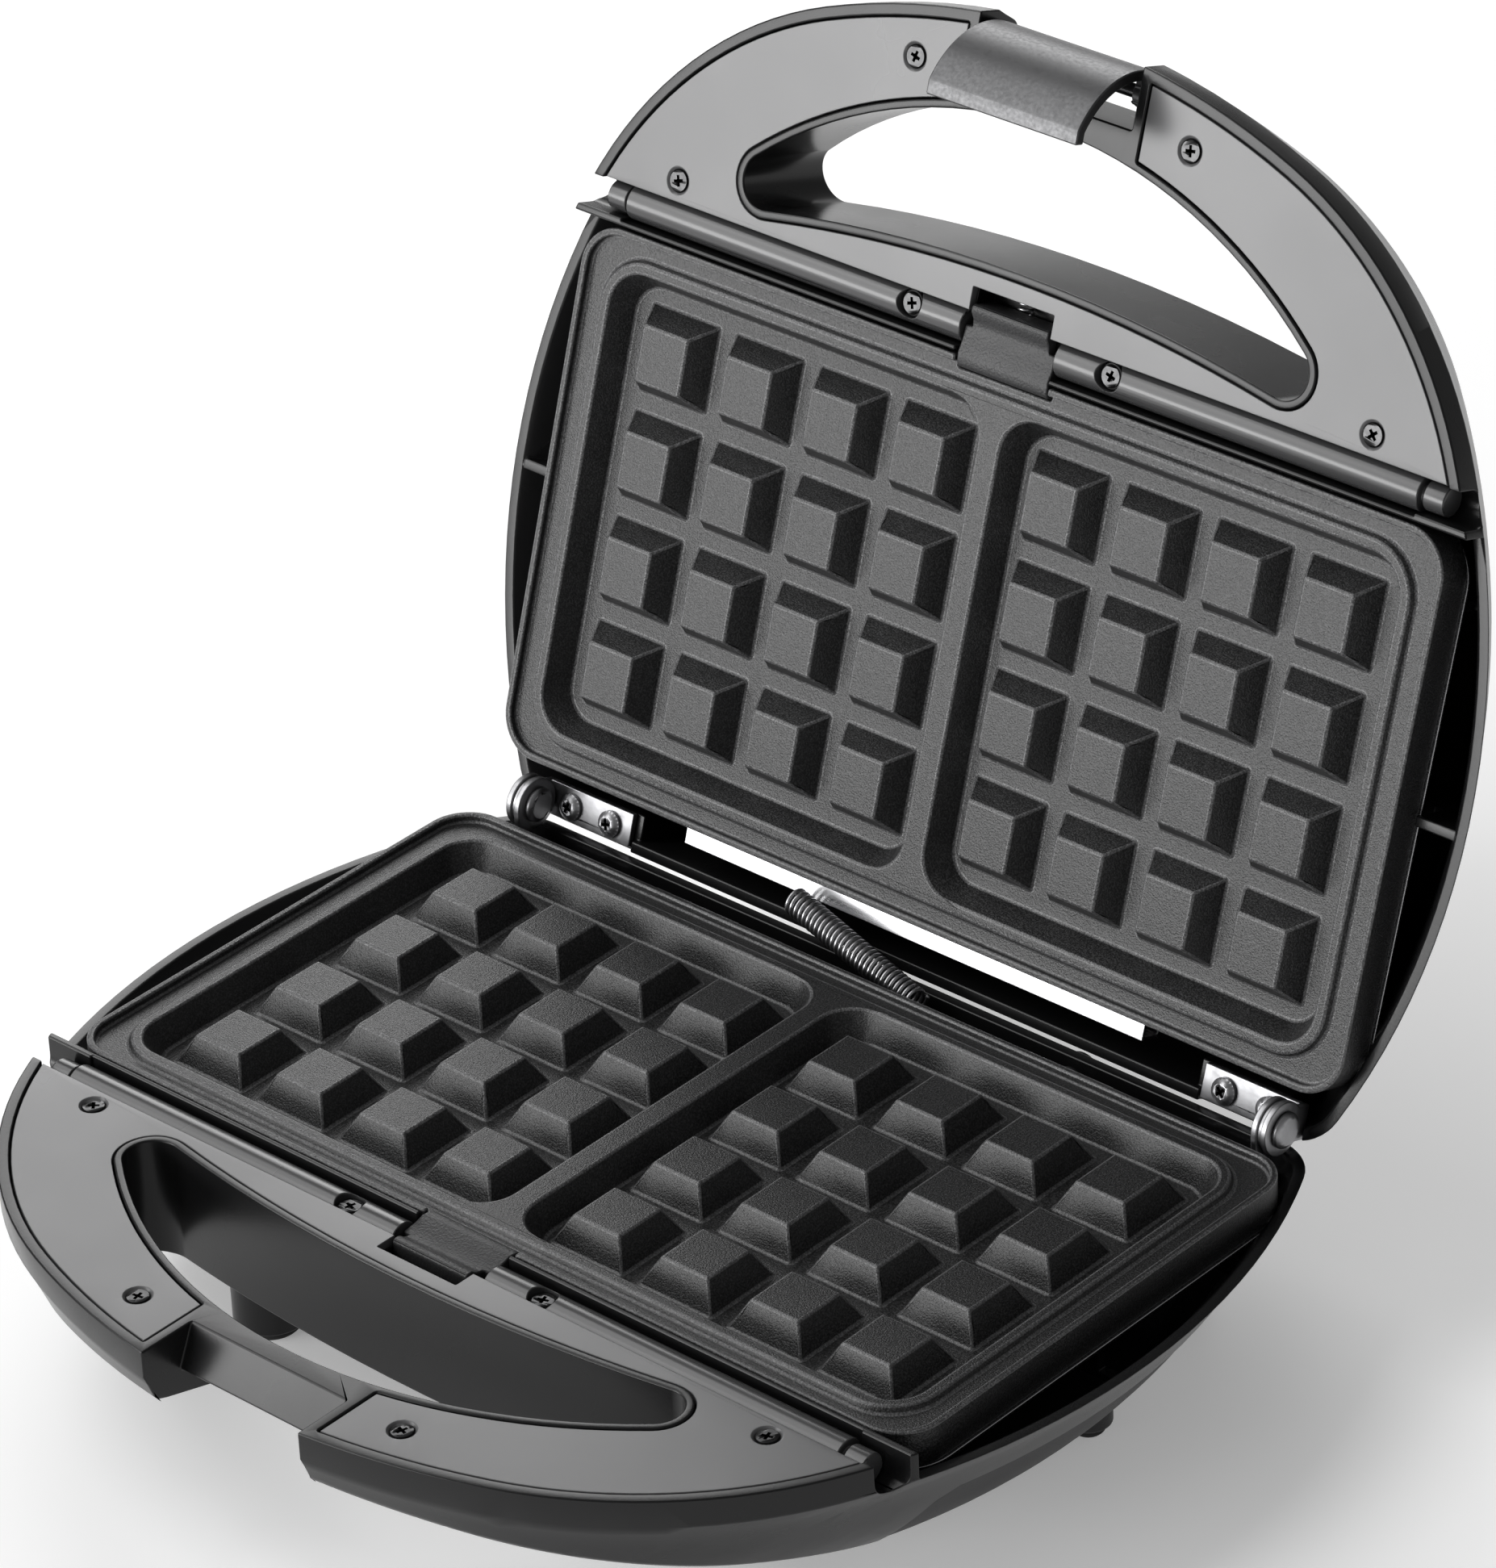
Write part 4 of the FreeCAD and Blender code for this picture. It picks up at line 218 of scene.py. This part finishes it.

# Panel and rail screws: blackened cross-head screws, countersunk in the panels.
# The cross is cut with two tapered blades, as a punch leaves it; its faces and a fine ring groove are
# painted near-black as painted shade.
def in_half(half):
    """Turns a half's drawing into the frame: X along the hinge, -Y to the handle, -Z into the half."""
    if half == "base":
        return Matrix.Translation(hinge)
    opened = Matrix.Rotation(math.radians(-108.2), 4, "X")
    turned_over = Matrix.Rotation(math.pi, 4, "Y")
    return Matrix.Translation(hinge) @ opened @ turned_over


def cross_cut(piece, half, spots, head):
    """Cuts a cross and a fine ring into each screw head, at (x, distance, depth) in millimetres, with
    their faces painted near-black as painted shade.
    """
    cutters = []
    for number, (x, d, h) in enumerate(spots):
        seat = in_half(half) @ Matrix.Translation((x / 1000, -d / 1000, -h / 1000))
        bpy.ops.object.select_all(action="DESELECT")
        bpy.ops.mesh.primitive_torus_add(
            major_radius=head * 0.92, minor_radius=head * 0.1, major_segments=40, minor_segments=8)
        ring = bpy.context.object
        ring.data.transform(seat)
        cutters.append(ring)
        for turn in (0.3 + number, 0.3 + number + math.pi / 2):
            bpy.ops.object.select_all(action="DESELECT")
            bpy.ops.mesh.primitive_cube_add(size=1)
            blade = bpy.context.object
            blade.data.transform(Matrix.Diagonal((head * 1.2, head * 0.3, head * 1.2, 1)))
            for vertex in blade.data.vertices:
                if vertex.co.z < 0:
                    vertex.co.x *= 0.5
                    vertex.co.y *= 0.7
            blade.data.transform(Matrix.Rotation(turn, 4, "Z"))
            blade.data.transform(seat)
            cutters.append(blade)
    for cutter in cutters:
        # The cut faces take a near-black rough metal: painted shade in the cross and the ring.
        cutter.data.materials.clear()
        cutter.data.materials.append(recess_painted_shade)
        bpy.context.view_layer.objects.active = piece
        cut = piece.modifiers.new("cross", "BOOLEAN")
        cut.operation = "DIFFERENCE"
        cut.solver = "EXACT"
        cut.material_mode = "TRANSFER"
        cut.object = cutter
        bpy.ops.object.modifier_apply(modifier=cut.name)
        bpy.data.objects.remove(cutter)
    bpy.ops.object.select_all(action="DESELECT")
    piece.select_set(True)
    bpy.context.view_layer.objects.active = piece
    bpy.ops.object.shade_smooth_by_angle(angle=math.radians(32))


def worked_metal(name, colour, rough, stretch, height):
    """Bare or plated steel: metal whose gloss and grain are drawn out along one direction."""
    material = bpy.data.materials.new(name)
    material.use_nodes = True
    tree = material.node_tree
    shader = tree.nodes["Principled BSDF"]
    shader.inputs["Base Color"].default_value = (*colour, 1)
    shader.inputs["Metallic"].default_value = 1
    place = tree.nodes.new("ShaderNodeTexCoord")
    drawn = tree.nodes.new("ShaderNodeMapping")
    drawn.inputs["Scale"].default_value = stretch
    grain = tree.nodes.new("ShaderNodeTexNoise")
    grain.inputs["Scale"].default_value = 1
    grain.inputs["Detail"].default_value = 4
    gloss = tree.nodes.new("ShaderNodeMapRange")
    gloss.inputs["To Min"].default_value = rough * 0.6
    gloss.inputs["To Max"].default_value = rough * 1.5
    bump = tree.nodes.new("ShaderNodeBump")
    bump.inputs["Strength"].default_value = height
    bump.inputs["Distance"].default_value = 0.0002
    link = tree.links.new
    link(place.outputs["Object"], drawn.inputs["Vector"])
    link(drawn.outputs["Vector"], grain.inputs["Vector"])
    link(grain.outputs["Fac"], gloss.inputs["Value"])
    link(gloss.outputs["Result"], shader.inputs["Roughness"])
    link(grain.outputs["Fac"], bump.inputs["Height"])
    link(bump.outputs["Normal"], shader.inputs["Normal"])
    return material


# Near-black rough metal for the cut faces of the screw heads: painted shade in the crosses and rings.
recess_painted_shade = worked_metal("screw_recess_painted_shade", (0.012, 0.012, 0.012), 0.6, (900, 900, 900), 0.1)
black_screw = worked_metal("blackened_screw", (0.06, 0.06, 0.061), 0.3, (900, 900, 900), 0.15)
head_radius = 0.0028
panel_screw_places, panel_head_depth = ((93.4, 144.4), (36.6, 187.2)), 0.65
rail_screw_x, rail_screw_d, rail_head_depth = 26.8, 136.6, 1.8
for half in ("base", "lid"):
    screws = eased(f"{half}_panel_screws", 0, finishes=[black_screw])
    spots = [(side * x, d, panel_head_depth) for side in (1, -1) for x, d in panel_screw_places]
    cross_cut(screws, half, spots, head_radius)
    finish(screws, black_screw, "dark_screw", half, f"{half}_panel_screws")
    screws = eased(f"{half}_rail_screws", 0, finishes=[black_screw])
    spots = [(side * rail_screw_x, rail_screw_d, rail_head_depth) for side in (1, -1)]
    cross_cut(screws, half, spots, head_radius)
    finish(screws, black_screw, "dark_screw", half, f"{half}_rail_screws")

# Plate clips: sliding saddles over the rails, moulded in grained black plastic.
# A tongue holds the front step of the plate until the clip is drawn back.
grained = moulded("grained_clip_plastic", (0.03, 0.03, 0.031), 0.4, 0.08, 1900, 0.7)
for half in ("base", "lid"):
    clip = f"{half}_release_clip"
    finish(eased(clip, 0.0004), grained, "clip_black", f"{half}_clip", clip)

# Waffle plates: cast aluminium with a charcoal non-stick coat, sprayed on and fired.
# The coat has a fine sparkle, and the rounded edges of the pegs are painted paler as a painted
# highlight.
def fired_coat(name, dark, pale, smooth, rough):
    """Non-stick coat: charcoal with a fine pale speck, slightly pebbled by the spray."""
    material = bpy.data.materials.new(name)
    material.use_nodes = True
    tree = material.node_tree
    shader = tree.nodes["Principled BSDF"]
    shader.inputs["Specular IOR Level"].default_value = 0.5
    place = tree.nodes.new("ShaderNodeTexCoord")
    speck = tree.nodes.new("ShaderNodeTexNoise")
    speck.inputs["Scale"].default_value = 2600
    speck.inputs["Detail"].default_value = 2
    tone = tree.nodes.new("ShaderNodeValToRGB")
    tone.color_ramp.elements[0].position = 0.42
    tone.color_ramp.elements[0].color = (dark, dark, dark * 1.02, 1)
    tone.color_ramp.elements[1].position = 0.7
    tone.color_ramp.elements[1].color = (pale, pale, pale * 1.02, 1)
    sheen = tree.nodes.new("ShaderNodeMapRange")
    sheen.inputs["To Min"].default_value = smooth
    sheen.inputs["To Max"].default_value = rough
    bump = tree.nodes.new("ShaderNodeBump")
    bump.inputs["Strength"].default_value = 0.7
    bump.inputs["Distance"].default_value = 0.0002
    link = tree.links.new
    link(place.outputs["Object"], speck.inputs["Vector"])
    link(speck.outputs["Fac"], tone.inputs["Fac"])
    link(tone.outputs["Color"], shader.inputs["Base Color"])
    link(speck.outputs["Fac"], sheen.inputs["Value"])
    link(sheen.outputs["Result"], shader.inputs["Roughness"])
    link(speck.outputs["Fac"], bump.inputs["Height"])
    link(bump.outputs["Normal"], shader.inputs["Normal"])
    return material


coat = fired_coat("non_stick_coat", 0.006, 0.05, 0.32, 0.46)
# A paler copy of the coat for the rounded peg edges: a painted highlight.
coat_edge_painted_highlight = fired_coat("non_stick_edge_painted_highlight", 0.05, 0.16, 0.25, 0.36)
for half in ("base", "lid"):
    plate = eased(f"{half}_waffle_plate", 0.0005, 3, 20, [coat, coat_edge_painted_highlight])
    finish(plate, coat, "non_stick", half, f"{half}_waffle_plate")

# Pans and hooks: bright steel sheet under and behind the plates, pressed and folded.
# The pan's flange carries the plate, and the hook holds the lugs at its rear edge.
bright_sheet = worked_metal("bright_steel_sheet", (0.55, 0.55, 0.56), 0.26, (60, 900, 900), 0.08)
for half in ("base", "lid"):
    for name in (f"{half}_reflector_pan", f"{half}_plate_hook"):
        finish(eased(name, 0.0002), bright_sheet, "bright_sheet", half, name)

# Hinge: zinc-plated steel brackets, pressed and screwed to blocks inside the rear walls.
# Each pair turns on a peened rivet with a washer.
zinc = worked_metal("zinc_plate", (0.34, 0.34, 0.35), 0.38, (500, 500, 500), 0.15)
bracket_screw_x = (86, 97.6)
bracket_head_place = {"base": (4.35, 7.6), "lid": (0, 4.6)}
for half in ("base", "lid"):
    for hand in ("left", "right"):
        bracket = f"{half}_hinge_bracket_{hand}"
        finish(eased(bracket, 0.0003), zinc, "zinc_steel", half, bracket)
    screws = eased(f"{half}_bracket_screws", 0, finishes=[zinc])
    spots = [(side * x, *bracket_head_place[half]) for side in (1, -1) for x in bracket_screw_x]
    cross_cut(screws, half, spots, head_radius)
    finish(screws, zinc, "zinc_steel", half, f"{half}_bracket_screws")
finish(eased("hinge_rivets", 0.0003), zinc, "zinc_steel", "base", "hinge_rivets")
finish(eased("hinge_washers", 0.0001), zinc, "zinc_steel", "base", "hinge_washers")

# Conduit: a close-wound tube of steel spring wire that guards the leads across the hinge.
# One end is held in the base and the other in the lid; here it is one fixed piece and does not twist as
# the lid turns.
wire = worked_metal("drawn_spring_wire", (0.42, 0.42, 0.43), 0.3, (700, 700, 700), 0.05)
conduit = eased("conduit_spring", 0, angle=60)
conduit.data.materials.append(wire)
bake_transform(conduit)
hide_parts("conduit_spring")

# Clip springs: short open coils of the same steel wire, one behind each clip.
# They lean on the housing and move with their half; they are not pressed together as the clip is drawn
# back.
for half in ("base", "lid"):
    spring = eased(f"{half}_clip_spring", 0, angle=60)
    finish(spring, wire, "spring_steel", half, f"{half}_clip_spring")
    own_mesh(spring)

# Latch: a curved hook moulded in plastic and lacquered in gunmetal.
# It turns on a steel pin across the notch in the lid's handle.
gunmetal = worked_metal("gunmetal_lacquer", (0.095, 0.095, 0.097), 0.38, (1200, 1200, 1200), 0.03)
finish(eased("latch", 0.0004, 3), gunmetal, "latch_dark", "latch", "latch")
finish(eased("latch_pin", 0.0001), black_screw, "dark_screw", "lid", "latch_pin")

# Feet and cord gland: soft black rubber pads on the legs, and a ring of matt plastic in the rear wall.
# The pads are pushed on, and the gland lines the hole for the supply leads.
rubber = moulded("foot_rubber", (0.02, 0.02, 0.02), 0.75, 0.08, 900, 0.5)
finish(eased("rubber_feet", 0.0003), rubber, "foot_rubber", "base", "rubber_feet")
finish(eased("cord_gland", 0.0003), matt_plastic, "matte_black", "base", "cord_gland")

# Lamp lenses: two small clear-coloured plastic domes, red for power and green for ready.
# They are pushed into holes in the top of the lid.
lens_red = moulded("red_lens", (0.5, 0.02, 0.015), 0.12, 0.02, 200, 0.02)
lens_green = moulded("green_lens", (0.02, 0.32, 0.06), 0.12, 0.02, 200, 0.02)
finish(eased("power_lamp_lens", 0.0002), lens_red, "lens_red", "lid", "power_lamp_lens")
finish(eased("ready_lamp_lens", 0.0002), lens_green, "lens_green", "lid", "ready_lamp_lens")

# Electrical parts inside: thermostats, fuse, terminal block and lamp board in pale insulating material.
# The heaters are bent steel tubes, browned by heat. Hardly any of this shows, so it keeps its CAD shape.
ceramic = moulded("pale_insulator", (0.72, 0.7, 0.64), 0.5, 0.08, 700, 0.3)
sheath = worked_metal("heater_sheath", (0.3, 0.28, 0.27), 0.45, (300, 300, 300), 0.2)
for name in ("base_thermostat", "lid_thermostat", "thermal_fuse", "terminal_block", "lamp_board"):
    nodes[name].data.materials.clear()
    nodes[name].data.materials.append(ceramic)
for half in ("base", "lid"):
    nodes[f"{half}_heating_element"].data.materials.clear()
    nodes[f"{half}_heating_element"].data.materials.append(sheath)
